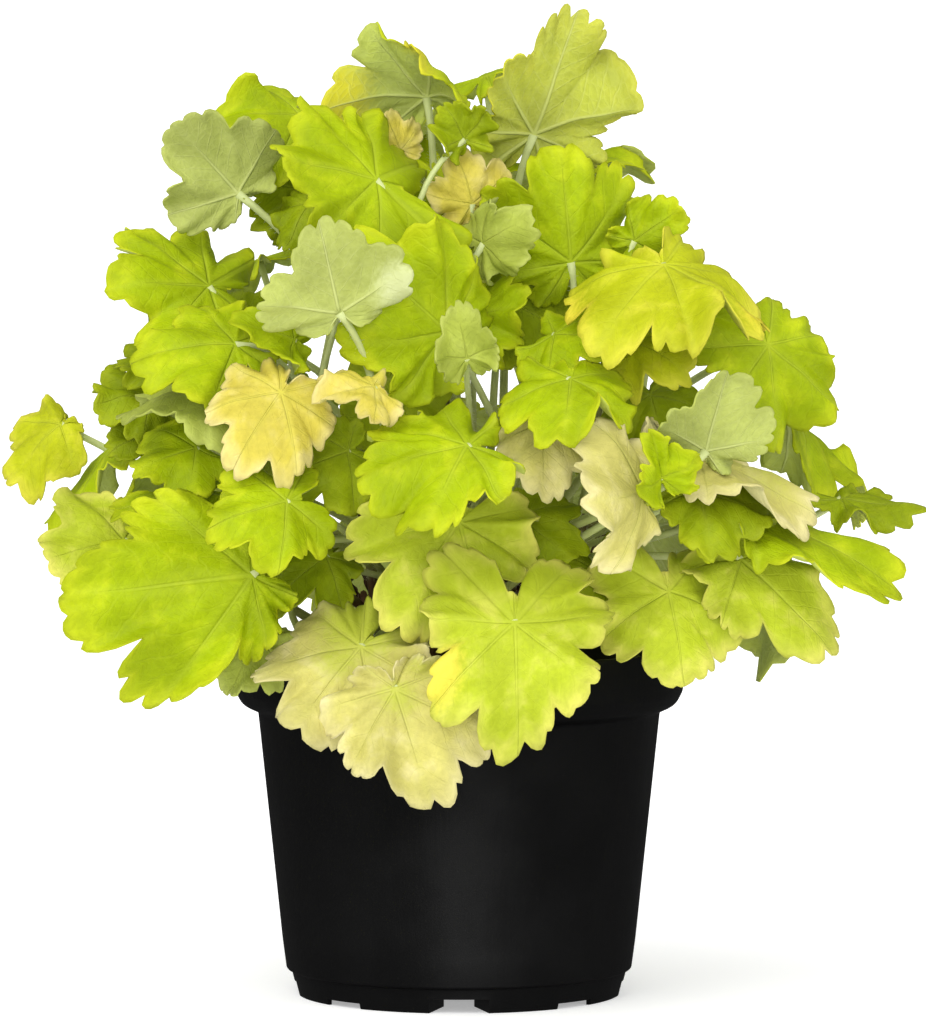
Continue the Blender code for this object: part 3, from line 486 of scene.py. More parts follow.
def makeSoil():
    bm = bmesh.new()
    bmesh.ops.create_grid(bm, x_segments=soil["sides"], y_segments=soil["rings"], size=0.5)
    for vert in bm.verts:
        bearing = math.tau * (vert.co.x + 0.5)
        radius = soil["radius"] * math.sqrt(max(vert.co.y + 0.5, 0.0))
        x, y = radius * math.cos(bearing), radius * math.sin(bearing)
        fade = min(1.0, (soil["radius"] - radius) / soil["lumpFade"])
        bump = noise.fractal(Vector((x, y, 0)) * soil["lumpScale"], *soil["lumpNoise"]) * soil["lumps"]
        vert.co = Vector((x, y, soilHeight(radius) + bump * fade)) * mm
    bmesh.ops.remove_doubles(bm, verts=bm.verts, dist=1e-6)
    rim = [edge for edge in bm.edges if edge.is_boundary]
    wall = bmesh.ops.extrude_edge_only(bm, edges=rim)["geom"]
    depth, inward = soil["wall"]
    for vert in wall:
        if isinstance(vert, bmesh.types.BMVert):
            vert.co.z -= depth * mm
            vert.co.x *= inward
            vert.co.y *= inward
    bmesh.ops.holes_fill(bm, edges=[edge for edge in bm.edges if edge.is_boundary])
    bmesh.ops.recalc_face_normals(bm, faces=bm.faces)
    crumbs = crumbMesh()
    bm.from_mesh(crumbs)
    bpy.data.meshes.remove(crumbs)
    made = finishedObject("pottingSoil", bm, [makeSoilMaterial()])
    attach(made, "root")
    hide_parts("soil")


makeSoil()
print("soil ready")


# The leaves' places, as the solids have them: the same seen places, sizes and small random changes

build = {
    "seed": 20,
    "eyeDistance": 2800.0,
    "eyeHeight": 375.0,
    "domeHeights": (85, 140, 180, 215, 260, 300, 340, 375),
    "domeWidths": (126, 140, 150, 148, 118, 100, 62, 26),
    "domeDepth": 0.82,
    "domeMiddle": (0.0, 0.0, 150.0),
    "pushes": (0, 4, -4, 8, -8, 12, 16, -12, 20, 26, 32, 38, 44),   # small changes of place, nearest first
    "rolls": (0, 12, -12, 24, -24, 36, -36),
    "tilts": (0, -12, 12, -24, 24),
    "changeCosts": (9, 16, 14),
    "bladeHalf": 0.36,
    "stalkRadii": (1.9, 1.75, 1.6, 1.4, 1.25),
    "stalkSteps": (0.0, 0.14, 0.42, 0.74, 1.0),
    "branchStep": 2,                 # where on its mother a further stalk begins
    "leastArrival": 0.42,
    "smallStalk": 0.8,
    "stalkTries": 800,
    "stalkSwell": 0.5,
    "swellGrowth": 0.7,
    "swellShare": (0.2, 1),
    "stalkHolds": (0.33, 0.30),      # how far the curve's two middle points stand from its ends
    "stalkLean": (0.4, 0.55),        # how much it bends to the blade's length and to its face
    "stalkStraight": (0.4, 1.0),
    "crownAim": (0.0, 0.0, 132.0),
    "crownSpread": 18.0,
    "aimShift": 0.10,
    "lookDown": 25.0,
    "leastRise": -0.1,
    "motherHold": 0.35,
    "fitGap": 0.4,
    "lobedSpan": 336.0,
    "lobeNotch": 0.18,
    "notchPower": 2.4,
    "taper": (0.50, 144.0, 1.7),     # how much shorter the lobes get to the stalk's side
    "sinusReach": 0.13,
    "uneven": 0.05,
    "wave": (0.06, 0.11),
    "curl": (-0.05, 0.07),
    "cupTurn": 2,
    "droopTurn": 1.6,
    "bigLeaf": 33,
    "smallLeaf": 24,
    "match": 0.03,                   # millimetres between a worked out place and the solid's corner
    "bladeEnough": 0.9,              # the share of places that has to match
    "stalkEnough": 0.5,
}


def leaf(name, at, tip, size, back=0, lean=-1, face=(0, 25), droop=20, cup=22, fold=0,
         lobes=5, narrow=1.0, base=1.0, tone="lime", node=None, place=None):
    # at and tip are seen places (x, z) of the stalk's end and the middle lobe's end, size is its length,
    # back is how far the stalk's end lies behind the dome's front, and face is the way
    # the upper side looks: turned right from the front, then up, in degrees
    seed = build["seed"] + sum((k + 1) * ord(letter) for k, letter in enumerate(name))
    return dict(name=name, at=at, tip=tip, size=size, back=back, lean=lean, face=face,
                droop=droop, cup=cup, fold=fold, lobes=lobes, narrow=narrow, base=base, tone=tone,
                node=node or "leaf_" + name, place=place, seed=seed)


# The darker lime tone on some of these leaves is painted shade for leaves that lie behind or under others.
frontLeaves = (
    leaf("top_right", (28, 324), (46, 371), 52, 30, face=(196, 10), cup=30, droop=6, tone="yellow",
         narrow=0.8, lobes=7),
    leaf("top_left", (-12, 338), (-38, 367), 42, 30, face=(170, 50), cup=42, droop=14, base=0.3,
         narrow=0.9, lobes=7),
    leaf("high_left", (-83, 302), (-107, 330), 38, 2, face=(204, 30), cup=10, droop=6, narrow=0.85,
         base=0.3, tone="pale"),
    leaf("high_left_behind", (-60, 331), (-92, 338), 35, 12, face=(-15, 46), node="shoot_high_left"),
    leaf("crest", (-31, 307), (-67, 318), 43, 0, face=(-4, 34), cup=14, droop=12, base=2.1, lobes=7),
    leaf("high_left_dark", (-57, 303), (-78, 308), 25, 34, face=(-30, 20), tone="olive",
         node="shoot_high_left"),
    leaf("high_left_small", (-56, 298), (-66, 284), 20, 30, face=(-30, 10), tone="olive",
         node="shoot_high_left"),
    leaf("left_mid", (-94, 267), (-130, 272), 40, 6, face=(-12, 36), cup=16, droop=14, base=1.6, lobes=7),
    leaf("pale_back", (-45, 257), (-52, 290), 34, -20, face=(184, 10), cup=8, droop=4, base=0.1,
         narrow=1.15, tone="pale"),
    leaf("heart", (-5, 250), (-30, 279), 46, 2, face=(0, 30), base=1.2, lobes=7),
    leaf("crest_centre", (2, 284), (-24, 308), 36, 22, face=(0, 30)),
    leaf("gold_bud", (5, 298), (1, 318), 21, 26, face=(5, 30), tone="gold", node="shoot_top"),
    leaf("orange_bud", (-22, 318), (-27, 331), 15, 24, face=(-5, 30), tone="gold", node="shoot_top"),
    leaf("curl_left", (-39, 283), (-42, 297), 15, 2, face=(-5, 30), cup=-50, tone="pale"),
    leaf("crest_right", (9, 283), (24, 293), 22, 8, face=(8, 20), base=1.4, tone="pale"),
    leaf("tall_right", (42, 276), (39, 321), 46, 22, face=(10, 16), narrow=0.85, lobes=7),
    leaf("curl_top", (2, 322), (-5, 337), 18, 12, face=(0, 30), cup=-40, tone="olive",
         node="shoot_top"),
    leaf("small_right", (66, 284), (86, 299), 25, 24, face=(35, 30), narrow=0.6, tone="olive"),
    leaf("yellow_right", (77, 275), (91, 253), 48, -8, face=(14, 64), cup=24, narrow=1.1, lobes=7,
         tone="yellow"),
    leaf("right_inner", (66, 246), (84, 242), 28, 12, face=(12, 34), tone="yellow",
         node="shoot_right_low"),
    leaf("centre_right", (36, 249), (58, 251), 29, 18, face=(5, 44)),
    leaf("behind_right", (18, 262), (44, 250), 34, 40, face=(8, 25), tone="olive"),
    leaf("centre_edge", (7, 256), (25, 262), 24, 18, face=(12, 22)),
    leaf("behind_centre", (-26, 232), (-14, 208), 31, 46, face=(-5, 20), tone="olive"),
    leaf("curl_centre", (3, 240), (0, 258), 20, -10, face=(0, 12), cup=-46, tone="pale"),
    leaf("mid_right", (42, 232), (40, 216), 33, 0, face=(5, 44), base=1.4),
    leaf("far_right", (116, 245), (126, 205), 42, 10, face=(34, 14), base=1.3, lobes=7),
    leaf("far_right_behind", (124, 236), (138, 224), 26, 34, face=(60, 25), tone="olive",
         node="shoot_far_right"),
    leaf("pale_right", (93, 205), (100, 239), 34, -6, face=(190, 12), base=0.4, narrow=0.8, tone="pale"),
    leaf("right_shade", (72, 226), (77, 208), 27, 24, face=(5, 26), tone="olive", node="shoot_right_low"),
    leaf("folded_right", (76, 195), (74, 213), 21, 4, face=(10, 20), fold=48, node="shoot_right_low"),
    leaf("cream_tall", (69, 189), (52, 188), 36, 2, face=(46, 4), cup=24, tone="cream"),
    leaf("beige", (32, 216), (31, 190), 28, 16, face=(0, 12), narrow=0.9, tone="cream",
         node="shoot_low_inner"),
    leaf("cream_edge", (87, 205), (139, 189), 52, -6, face=(10, 76), cup=12, narrow=0.62, tone="cream"),
    leaf("right_low_dark", (90, 190), (124, 182), 34, 20, face=(8, 74), tone="olive",
         node="shoot_far_right"),
    leaf("right_turned", (92, 181), (112, 168), 32, 8, face=(186, 44), tone="pale"),
    leaf("right_reach", (108, 182), (166, 177), 57, 4, face=(-4, 78), droop=4, narrow=0.52, fold=-10),
    leaf("right_tip", (144, 187), (176, 185), 33, 12, face=(-6, 76), droop=10, narrow=0.55, tone="olive"),
    leaf("low_right", (106, 164), (142, 136), 45, 0, face=(14, 32), narrow=0.7, tone="pale"),
    leaf("low_mid_right", (79, 152), (86, 120), 37, 2, face=(14, 18), base=1.7, lobes=5, tone="yellow"),
    leaf("front", (21, 140), (23, 100), 45, -18, face=(4, 12), cup=14, base=2.0, lobes=7, tone="yellow"),
    leaf("hanging_cream", (-24, 115), (-11, 76), 42, -18, face=(0, 12), base=0.6, lobes=7, tone="cream"),
    leaf("hanging_left", (-37, 131), (-65, 102), 43, 6, face=(-18, 20), base=1.1, lobes=7, tone="cream"),
    leaf("grey_left", (-74, 134), (-90, 116), 25, 30, face=(-30, 22), tone="pale"),
    leaf("lower_centre", (0, 178), (-26, 143), 47, 14, face=(-2, 16), base=1.2, lobes=7, tone="yellow"),
    leaf("centre", (3, 207), (-38, 203), 43, -6, face=(0, 54), lobes=7),
    leaf("dark_low_left", (-50, 165), (-70, 155), 27, 40, face=(-15, 25), tone="olive"),
    leaf("dark_mid_left", (-42, 205), (-66, 198), 29, 34, face=(-15, 25), tone="olive"),
    leaf("great_left", (-78, 158), (-150, 152), 72, 4, face=(-8, 12), cup=16, droop=10, narrow=0.58,
         base=0.5, lobes=7),
    leaf("outer_left", (-126, 171), (-157, 169), 35, 16, face=(-10, 26), tone="yellow"),
    leaf("edge_left", (-100, 190), (-133, 187), 33, 26, face=(-8, 78), tone="olive"),
    leaf("small_left", (-65, 186), (-95, 181), 32, -6, face=(-8, 32), base=1.4),
    leaf("left_shelf", (-99, 206), (-126, 200), 28, 16, face=(-20, 40)),
    leaf("gold", (-67, 227), (-86, 203), 34, -8, face=(-4, 22), cup=34, lobes=7, tone="gold"),
    leaf("gold_small", (-32, 229), (-50, 231), 22, -4, face=(0, 50), tone="gold"),
    leaf("pale_shelf", (-90, 231), (-129, 223), 41, 8, face=(-8, 72), tone="pale"),
    leaf("left_fan", (-84, 245), (-122, 248), 38, 6, face=(-10, 72), droop=14, narrow=0.85),
    leaf("ruffle_left", (-62, 247), (-78, 256), 23, 4, face=(-5, 30), cup=-26),
    leaf("brown_left", (-108, 238), (-127, 238), 22, 26, face=(-20, 30), tone="olive",
         node="shoot_outer_left"),
    leaf("dark_outer_left", (-116, 226), (-138, 226), 24, 30, face=(-20, 35), tone="olive",
         node="shoot_outer_left"),
    leaf("green_outer_left", (-114, 212), (-130, 209), 20, 34, face=(-20, 35), tone="olive",
         node="shoot_outer_left"),
    leaf("yellow_far_left", (-150, 215), (-175, 195), 33, 0, face=(-46, 12), base=0.3, narrow=0.75,
         tone="yellow"),
    leaf("behind_left_mid", (-80, 254), (-114, 253), 35, 32, face=(-4, 60), tone="olive",
         node="shoot_outer_left"),
    leaf("shade_centre", (22, 180), (42, 168), 27, 40, face=(5, 25), tone="olive", node="shoot_low_inner"),
    leaf("shade_right", (52, 160), (60, 135), 29, 34, face=(10, 20), tone="olive",
         node="shoot_low_right"),
)

behind = {
    "rows": (                        # height, radius, first and last bearing, count, size
        (168, 137, 25, 166, 6, 50),
        (214, 129, 0, 180, 7, 52),
        (272, 92, 22, 160, 5, 50),
        (318, 58, 35, 160, 4, 44),
        (342, 22, 60, 120, 1, 44),
    ),
    "step": 13.0,
    "nodes": 6,
    "turn": 0.07,                    # chance in bearing, radius, height, direction and size
    "radius": 4,
    "height": 8,
    "swing": 0.5,
    "size": 4,
    "droop": 24,
    "lean": ((0.45, 0.2), (-0.75, 0.3)),     # how they point out and up, and the change from row to row
    "faceOut": 0.9,
    "faceUp": (0.55, 0.1, 150, 260.0),
    # the darker lime among these tones is painted shade on the leaves round the back
    "tones": ("lime", "lime", "yellow", "olive"),
}


def unit(vector):
    return vector / np.linalg.norm(vector)


def lengths(vectors):
    return np.linalg.norm(vectors, axis=1)[:, None]


def sight(x, z, y):
    # The point at depth y seen at (x, z) in the upright plane through the pot's middle
    share = (build["eyeDistance"] + y) / build["eyeDistance"]
    return np.array((x * share, y, build["eyeHeight"] + (z - build["eyeHeight"]) * share))


def leafFrame(item, push, roll, tilt):
    # The blade's stalk end and its directions: across, along to the tip, and out of its face
    if item["place"] is None:
        x, z = item["at"]
        width = np.interp(z, build["domeHeights"], build["domeWidths"])
        depth = item["back"] + push - build["domeDepth"] * math.sqrt(max(width * width - x * x, 0.0))
        root = sight(x, z, depth)
        flat = sight(*item["tip"], depth) - root
        lean = item["lean"] * math.sqrt(max(item["size"] ** 2 - flat.dot(flat), 0.0))
        along = unit(flat + (0.0, lean, 0.0))
        turn, rise = (math.radians(angle) for angle in item["face"])
        out = np.array((math.sin(turn) * math.cos(rise), -math.cos(turn) * math.cos(rise), math.sin(rise)))
    else:
        root, along, out = item["place"]
        root = root + unit(root - build["domeMiddle"]) * push
    out = unit(out - along * out.dot(along))
    across = np.cross(along, out)
    out = out * math.cos(roll) + across * math.sin(roll)
    along, out = (along * math.cos(tilt) + out * math.sin(tilt),
                  out * math.cos(tilt) - along * math.sin(tilt))
    return root, np.cross(along, out), along, out


def outlineReach(bearings, lobes):
    away = np.abs(bearings)
    span = build["lobedSpan"] / lobes
    off = np.abs((away + span / 2) % span - span / 2) * 2 / span
    less, side, power = build["taper"]
    reach = (1 - less * (away / side) ** power) * (1 - build["lobeNotch"] * off ** build["notchPower"])
    return np.where(away > build["lobedSpan"] / 2 + 1, build["sinusReach"], reach)


def bent(length, angle):
    if abs(angle) < 1e-3:
        return length, 0.0 * length
    return np.sin(length * angle) / angle, (1 - np.cos(length * angle)) / angle


def bladePoints(item, shares, bearings, relief=0.0, outline=1.0):
    # The blade in its own frame, with any fine relief and scalloped outline added to the solid's form
    draw = random.Random(item["seed"])
    phases = [draw.uniform(0, math.tau) for _ in range(5)]
    wave = draw.uniform(*build["wave"])
    curl = draw.uniform(*build["curl"])
    angle = np.radians(bearings)
    turned = (bearings + 180.0) % 360.0 - 180.0
    reach = outlineReach(turned, item["lobes"])
    reach = reach * (1 - (1 - item["narrow"]) * np.sin(angle) ** 2)
    reach = reach * (1 + build["uneven"] * (np.sin(2 * angle + phases[3]) + np.sin(3 * angle + phases[4])))
    reach = reach * np.where(np.cos(angle) < 0, 1 - (item["base"] - 1) * np.cos(angle), 1.0)
    x = shares * reach * np.sin(angle) * outline
    y = shares * reach * np.cos(angle) * outline
    span = build["lobedSpan"] / item["lobes"]
    lift = shares ** 2 * wave * (np.sin(2 * angle + phases[0]) + 0.8 * np.sin(3 * angle + phases[1])
                                 + 0.5 * np.sin(5 * angle + phases[2]))
    lift += curl * shares ** 3 * np.cos(math.tau * turned / span)
    lift = lift * np.minimum(reach / 0.5, 1.0) + relief
    out, dropSide = bent(np.abs(x), math.radians(item["cup"]) * build["cupTurn"])
    fold = math.radians(item["fold"])
    side = np.sign(x) * (out * math.cos(fold) + dropSide * math.sin(fold))
    up = lift - dropSide * math.cos(fold) + out * math.sin(fold)
    ahead, dropTip = bent(y, math.radians(item["droop"]) * build["droopTurn"])
    return np.column_stack((side, ahead, up - dropTip)) * item["size"]


def placed(points, place):
    root, across, along, out = place
    return root + points[:, :1] * across + points[:, 1:2] * along + points[:, 2:] * out


def around(draw, size):
    return draw.uniform(-size, size)


def backLeaves():
    # Rows of leaves round the back and sides
    made = []
    draw = random.Random(build["seed"] + 2)
    faceUp, more, low, span = behind["faceUp"]
    for row, (height, radius, first, last, count, size) in enumerate(behind["rows"]):
        outward, downward = (start + change * row for start, change in behind["lean"])
        for k in range(count):
            bearing = math.radians(first + (last - first) * (k + 0.5 * (row % 2)) / (count - 1 + 0.5))
            bearing += around(draw, behind["turn"])
            out = np.array((math.cos(bearing), math.sin(bearing), 0.0))
            radial = radius - behind["step"] * (k % 2) + around(draw, behind["radius"])
            root = out * radial + (0, 0, height + around(draw, behind["height"]))
            rise = more + (height - low) / span
            sideways = np.array((-out[1], out[0], 0.0)) * around(draw, behind["swing"])
            along = unit(out * outward + sideways + (0, 0, downward))
            face = unit(out * behind["faceOut"] + (0, 0, faceUp + rise))
            node = "shoot_back_%d" % (1 + int((math.degrees(bearing) + 30) / 240 * behind["nodes"]))
            made.append(leaf("back_%d_%d" % (row, k), None, None, size + around(draw, behind["size"]),
                             droop=behind["droop"], tone=draw.choice(behind["tones"]), node=node,
                             place=(root, along, face)))
    return made


def edgeBearings(item):
    # The solid blade's points along its lobed edge
    perLobe = 2 if item["size"] < build["smallLeaf"] else 3
    half = build["lobedSpan"] / 2
    return np.linspace(-half, half, item["lobes"] * perLobe + 1)


def solidPoints():
    # Every corner of the leaf solids in millimetres, and the node that it belongs to
    points, owners = [], []
    for name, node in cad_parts.items():
        if name[:5] in ("leaf_", "shoot"):
            found = np.unique(np.round(coordinates(node.data) / mm, 3), axis=0)
            points.append(found)
            owners += [name] * len(found)
    points = np.concatenate(points)
    tree = KDTree(len(points))
    for k, point in enumerate(points):
        tree.insert(point, k)
    tree.balance()
    return tree, owners


def readBlade(item, tries, solids):
    # Which of the small changes of place the solid blade took: its corners lie either side of the sheet
    tree, owners = solids
    bearings = edgeBearings(item)[1:-1:2]
    flat = bladePoints(item, np.ones(len(bearings)), bearings)
    best = (0, tries[0], item["node"])
    for change in tries:
        sheet = placed(flat, leafFrame(item, *change))
        found, node = 0, None
        for k, point in enumerate(sheet):
            (first, n, near), (second, _, far) = tree.find_n(Vector(point), 2)
            middle = (first + second) / 2
            if abs(near - far) < build["match"] and (middle - Vector(point)).length < build["match"]:
                found, node = found + 1, owners[n]
            elif k > 1 and not found:
                break
        if found > best[0]:
            best = (found, change, node)
        if found == len(sheet):
            break
    item["found"] = best[0] / len(bearings)
    item["frame"] = leafFrame(item, *best[1])
    item["owner"] = best[2]


def stalkControls(item, attempt, crownTree, mother):
    draw = random.Random(build["stalkTries"] * item["seed"] + attempt)
    share = attempt / build["stalkTries"]
    root, _, along, out = item["frame"]
    if mother:
        base, start = mother
        start = unit(build["motherHold"] * start + (1 - build["motherHold"]) * unit(root - base))
    else:
        spread = build["crownSpread"] * share
        target = np.array(build["crownAim"]) + [draw.uniform(-spread, spread) for _ in range(3)]
        target[:2] += root[:2] * build["aimShift"]
        above = root + (0, 0, build["lookDown"])
        hit, start, _, _ = crownTree.ray_cast(Vector(above), Vector(unit(target - above)))
        if hit is None or start.z < build["leastRise"]:
            return None
        start = np.array(start)
        base = np.array(hit) + start * build["fitGap"]
    reach = np.linalg.norm(root - base)
    way = unit(root - base)
    bulges = []
    for _ in range(2):
        bulge = np.array([draw.gauss(0, 1) for _ in range(3)])
        swell = build["stalkSwell"] * share ** build["swellGrowth"] * reach
        bulges.append(unit(bulge - way * bulge.dot(way)) * swell * draw.uniform(*build["swellShare"]))
    toLength, toFace = build["stalkLean"]
    arrive = unit(way * draw.uniform(*build["stalkStraight"]) + along * toLength + out * toFace)
    least = build["leastArrival"]
    if arrive.dot(out) < least:
        arrive = unit(arrive - out * arrive.dot(out)) * math.sqrt(1 - least ** 2) + out * least
    first, last = build["stalkHolds"]
    hold = base + start * reach * first + bulges[0]
    meet = root - arrive * reach * last + bulges[1]
    return base, hold, meet, root - out * build["bladeHalf"]


def curvePoints(controls, steps):
    base, hold, meet, end = controls
    steps = np.asarray(steps)[:, None]
    rest = 1 - steps
    return rest ** 3 * base + 3 * rest ** 2 * steps * hold + 3 * rest * steps ** 2 * meet + steps ** 3 * end


def readStalk(item, crownTree, mother, solids, enough):
    # Which of the rule's curves the solid stalk follows: its rings' corners lie round the curve
    tree, _ = solids
    big = item["size"] >= build["bigLeaf"]
    wanted = 3 * (3 if item["place"] or not big else 4)
    best = (-1, None)
    for attempt in range(build["stalkTries"]):
        controls = stalkControls(item, attempt, crownTree, mother)
        if controls is None:
            continue
        path = curvePoints(controls, build["stalkSteps"])
        score = 0
        for centre, radius in zip(path[3:0:-1], build["stalkRadii"][3:0:-1]):
            radius *= 1.0 if big else build["smallStalk"]
            near = tree.find_range(Vector(centre), radius + build["match"])
            score += sum(abs(entry[2] - radius) < build["match"] for entry in near)
        if score > best[0]:
            best = (score, controls)
        if score >= wanted * enough:
            break
    item["stalkFound"] = best[0] / wanted
    item["controls"] = best[1]


def readLeaves():
    leaves = [dict(item) for item in frontLeaves] + backLeaves()
    tries = []
    for change in itertools.product(build["pushes"], build["rolls"], build["tilts"]):
        cost = sum(abs(value) / each for value, each in zip(change, build["changeCosts"]))
        push, roll, tilt = change
        tries.append((cost, push, math.radians(roll), math.radians(tilt)))
    tries = [entry[1:] for entry in sorted(tries)]
    solids = solidPoints()
    for item in leaves:
        readBlade(item, tries, solids)
    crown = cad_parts["crown"].data
    crown.calc_loop_triangles()
    crownTree = BVHTree.FromPolygons((coordinates(crown) / mm).tolist(),
                                     [tuple(face.vertices) for face in crown.loop_triangles])
    mothers = {}
    count = collections.Counter(item["node"] for item in leaves)
    step = build["branchStep"]
    for item in sorted(leaves, key=lambda item: np.linalg.norm(item["frame"][0] - build["crownAim"])):
        first = count[item["node"]] > 1 and item["node"] not in mothers
        readStalk(item, crownTree, mothers.get(item["node"]), solids, 1.0 if first else build["stalkEnough"])
        if first:
            path = curvePoints(item["controls"], build["stalkSteps"])
            mothers[item["node"]] = (path[step], unit(path[step + 1] - path[step]))
    return leaves


leaves = readLeaves()
for item in leaves:
    if item["found"] < build["bladeEnough"] or item["stalkFound"] < build["stalkEnough"]:
        print("not read from the solids:", item["name"], item["found"], item["stalkFound"])
print("leaf places ready")


# Crown

crown = {
    "stock": (18.0, 92.0, 134.0),    # radius, low and high end
    "stockSides": 48,
    "heads": ((0, 4, 142, 15), (-24, -8, 136, 13), (22, -12, 137, 13.5), (-14, 20, 137, 13),
              (17, 19, 136, 12.5), (-2, -24, 134, 12)),
    "stubCount": 12,
    "stubRise": (5, 55),
    "stubLength": (14, 24),
    "stubLift": (0, 5),
    "stubInside": 5,
    "stubOutward": 0.9,
    "longStubs": ((26, -30, 189), (38, -26, 193), (47, -10, 182), (-36, -34, 154), (-41, -14, 205),
                  (-10, -44, 147), (66, -18, 170), (58, 10, 176)),
    "stubRadii": ((0, 0.4, 1), (2.3, 1.8, 1.3)),     # at these shares of the length
    "stubRods": 15,
    "stubSides": 10,
    "stubTaper": 0.97,
    "stubOverlap": 1.25,
    "sag": -0.08,
    "remesh": 1.0,
    "scars": 0.9,
    "scarScale": 0.35,
    "scarNoise": (0.8, 2.1, 4),
    "finish": (0.85, 0.25),
    "fibreScale": (300.0, 300.0, 110.0),
    "fibres": (1.0, 4.0, 0.65),
    "fibreFrom": (0.32, 0.70),
    "browns": ((0.035, 0.016, 0.008), (0.150, 0.075, 0.035)),
    "lichen": (0.110, 0.085, 0.035),
    "patches": (60.0, 3.0),
    "patchFrom": (0.55, 0.72),
    "relief": (0.0009, 0.9),
}


def makeBarkMaterial():
    finish, tree, shader = shaderMaterial("crownBark", *crown["finish"])
    place = objectPlace(tree)
    fibre = noiseValue(tree, stretched(tree, place, crown["fibreScale"]), *crown["fibres"])
    patch = smoothRange(tree, noiseValue(tree, place, *crown["patches"]), *crown["patchFrom"])
    colour = mixColours(tree, smoothRange(tree, fibre, *crown["fibreFrom"]), *crown["browns"])
    addLook(tree, shader, mixColours(tree, patch, colour, crown["lichen"]))
    addBump(tree, shader, fibre, *crown["relief"])
    return finish


def stubPaths():
    # The cut stalks and side shoots on the crown, drawn in the same order as in the solids
    draw = random.Random(build["seed"] + 1)
    ends = []
    for k in range(crown["stubCount"]):
        x, y, z, radius = crown["heads"][k % len(crown["heads"])]
        bearing = draw.uniform(0, math.tau)
        rise = math.radians(draw.uniform(*crown["stubRise"]))
        way = Vector((math.cos(bearing) * math.cos(rise), math.sin(bearing) * math.cos(rise), math.sin(rise)))
        out = Vector((x, y, 0))
        if out.length > 5:
            way = (way + out.normalized() * crown["stubOutward"]).normalized()
        start = Vector((x, y, z)) + way * (radius - crown["stubInside"])
        end = start + way * draw.uniform(*crown["stubLength"])
        ends.append((start, end + Vector((0, 0, draw.uniform(*crown["stubLift"])))))
    for tip in crown["longStubs"]:
        x, y, z, radius = min(crown["heads"], key=lambda head: math.hypot(head[0] - tip[0] * 0.5,
                                                                         head[1] - tip[1] * 0.5))
        way = (Vector(tip) - Vector((x, y, z))).normalized()
        ends.append((Vector((x, y, z)) + way * (radius - crown["stubInside"]), Vector(tip)))
    return ends


def makeCrown():
    bm = bmesh.new()
    radius, low, high = crown["stock"]
    stock = bmesh.ops.create_cone(bm, cap_ends=True, segments=crown["stockSides"], radius1=radius * mm,
                                  radius2=radius * mm, depth=(high - low) * mm)["verts"]
    bmesh.ops.translate(bm, vec=(0, 0, (high + low) / 2 * mm), verts=stock)
    for x, y, z, radius in crown["heads"]:
        head = bmesh.ops.create_icosphere(bm, subdivisions=3, radius=radius * mm)["verts"]
        bmesh.ops.translate(bm, vec=(x * mm, y * mm, z * mm), verts=head)
    count = crown["stubRods"]
    for start, end in stubPaths():
        sag = Vector((0, 0, crown["sag"] * (end - start).length))
        for n in range(count):
            t = n / count
            first, second = (start.lerp(end, s) + sag * 4 * s * (1 - s) for s in (t, t + 1 / count))
            width = float(np.interp(t, *crown["stubRadii"]))
            rod = bmesh.ops.create_cone(bm, cap_ends=True, segments=crown["stubSides"], radius1=width * mm,
                                        radius2=width * crown["stubTaper"] * mm,
                                        depth=(second - first).length * crown["stubOverlap"] * mm)["verts"]
            turn = (second - first).to_track_quat("Z", "Y").to_matrix().to_4x4()
            bmesh.ops.transform(bm, matrix=Matrix.Translation((first + second) / 2 * mm) @ turn, verts=rod)
    made = finishedObject("woodyCrown", bm, [makeBarkMaterial()])
    skin = made.modifiers.new("skin", "REMESH")
    skin.mode = "VOXEL"
    skin.voxel_size = crown["remesh"] * mm
    applyModifiers(made)
    mesh = made.data
    points = coordinates(mesh)
    normals = np.empty(len(points) * 3, np.float32)
    mesh.vertices.foreach_get("normal", normals)
    normals = normals.reshape(-1, 3)
    for k, (x, y, z) in enumerate(points):
        rough = noise.fractal(Vector((x, y, z * 0.5)) / mm * crown["scarScale"], *crown["scarNoise"])
        points[k] += normals[k] * rough * crown["scars"] * mm
    setCoordinates(mesh, points)
    mesh.shade_smooth()
    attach(made, "root")
    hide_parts("crown")


makeCrown()
print("crown ready")


# Leaf finishes

tones = {   # upper side, its margin, under side, and the tint of its blush
    "lime": ((0.320, 0.420, 0.002), (0.500, 0.550, 0.014), (0.430, 0.500, 0.110), (0.60, 0.56, 0.03)),
    "spring": ((0.420, 0.500, 0.022), (0.660, 0.620, 0.130), (0.460, 0.500, 0.120), (0.74, 0.64, 0.07)),
    "yellow": ((0.440, 0.480, 0.008), (0.600, 0.560, 0.050), (0.440, 0.480, 0.060), (0.74, 0.60, 0.05)),
    "gold": ((0.590, 0.500, 0.070), (0.650, 0.560, 0.240), (0.640, 0.560, 0.160), (0.70, 0.56, 0.22)),
    "cream": ((0.560, 0.515, 0.140), (0.690, 0.620, 0.320), (0.600, 0.560, 0.260), (0.42, 0.47, 0.04)),
    "pale": ((0.360, 0.420, 0.060), (0.430, 0.480, 0.110), (0.400, 0.450, 0.110), (0.56, 0.60, 0.30)),
    # A darker copy of lime: painted shade for the leaves that lie behind or under others.
    "olive": ((0.240, 0.310, 0.003), (0.320, 0.370, 0.010), (0.300, 0.350, 0.050), (0.36, 0.30, 0.02)),
}
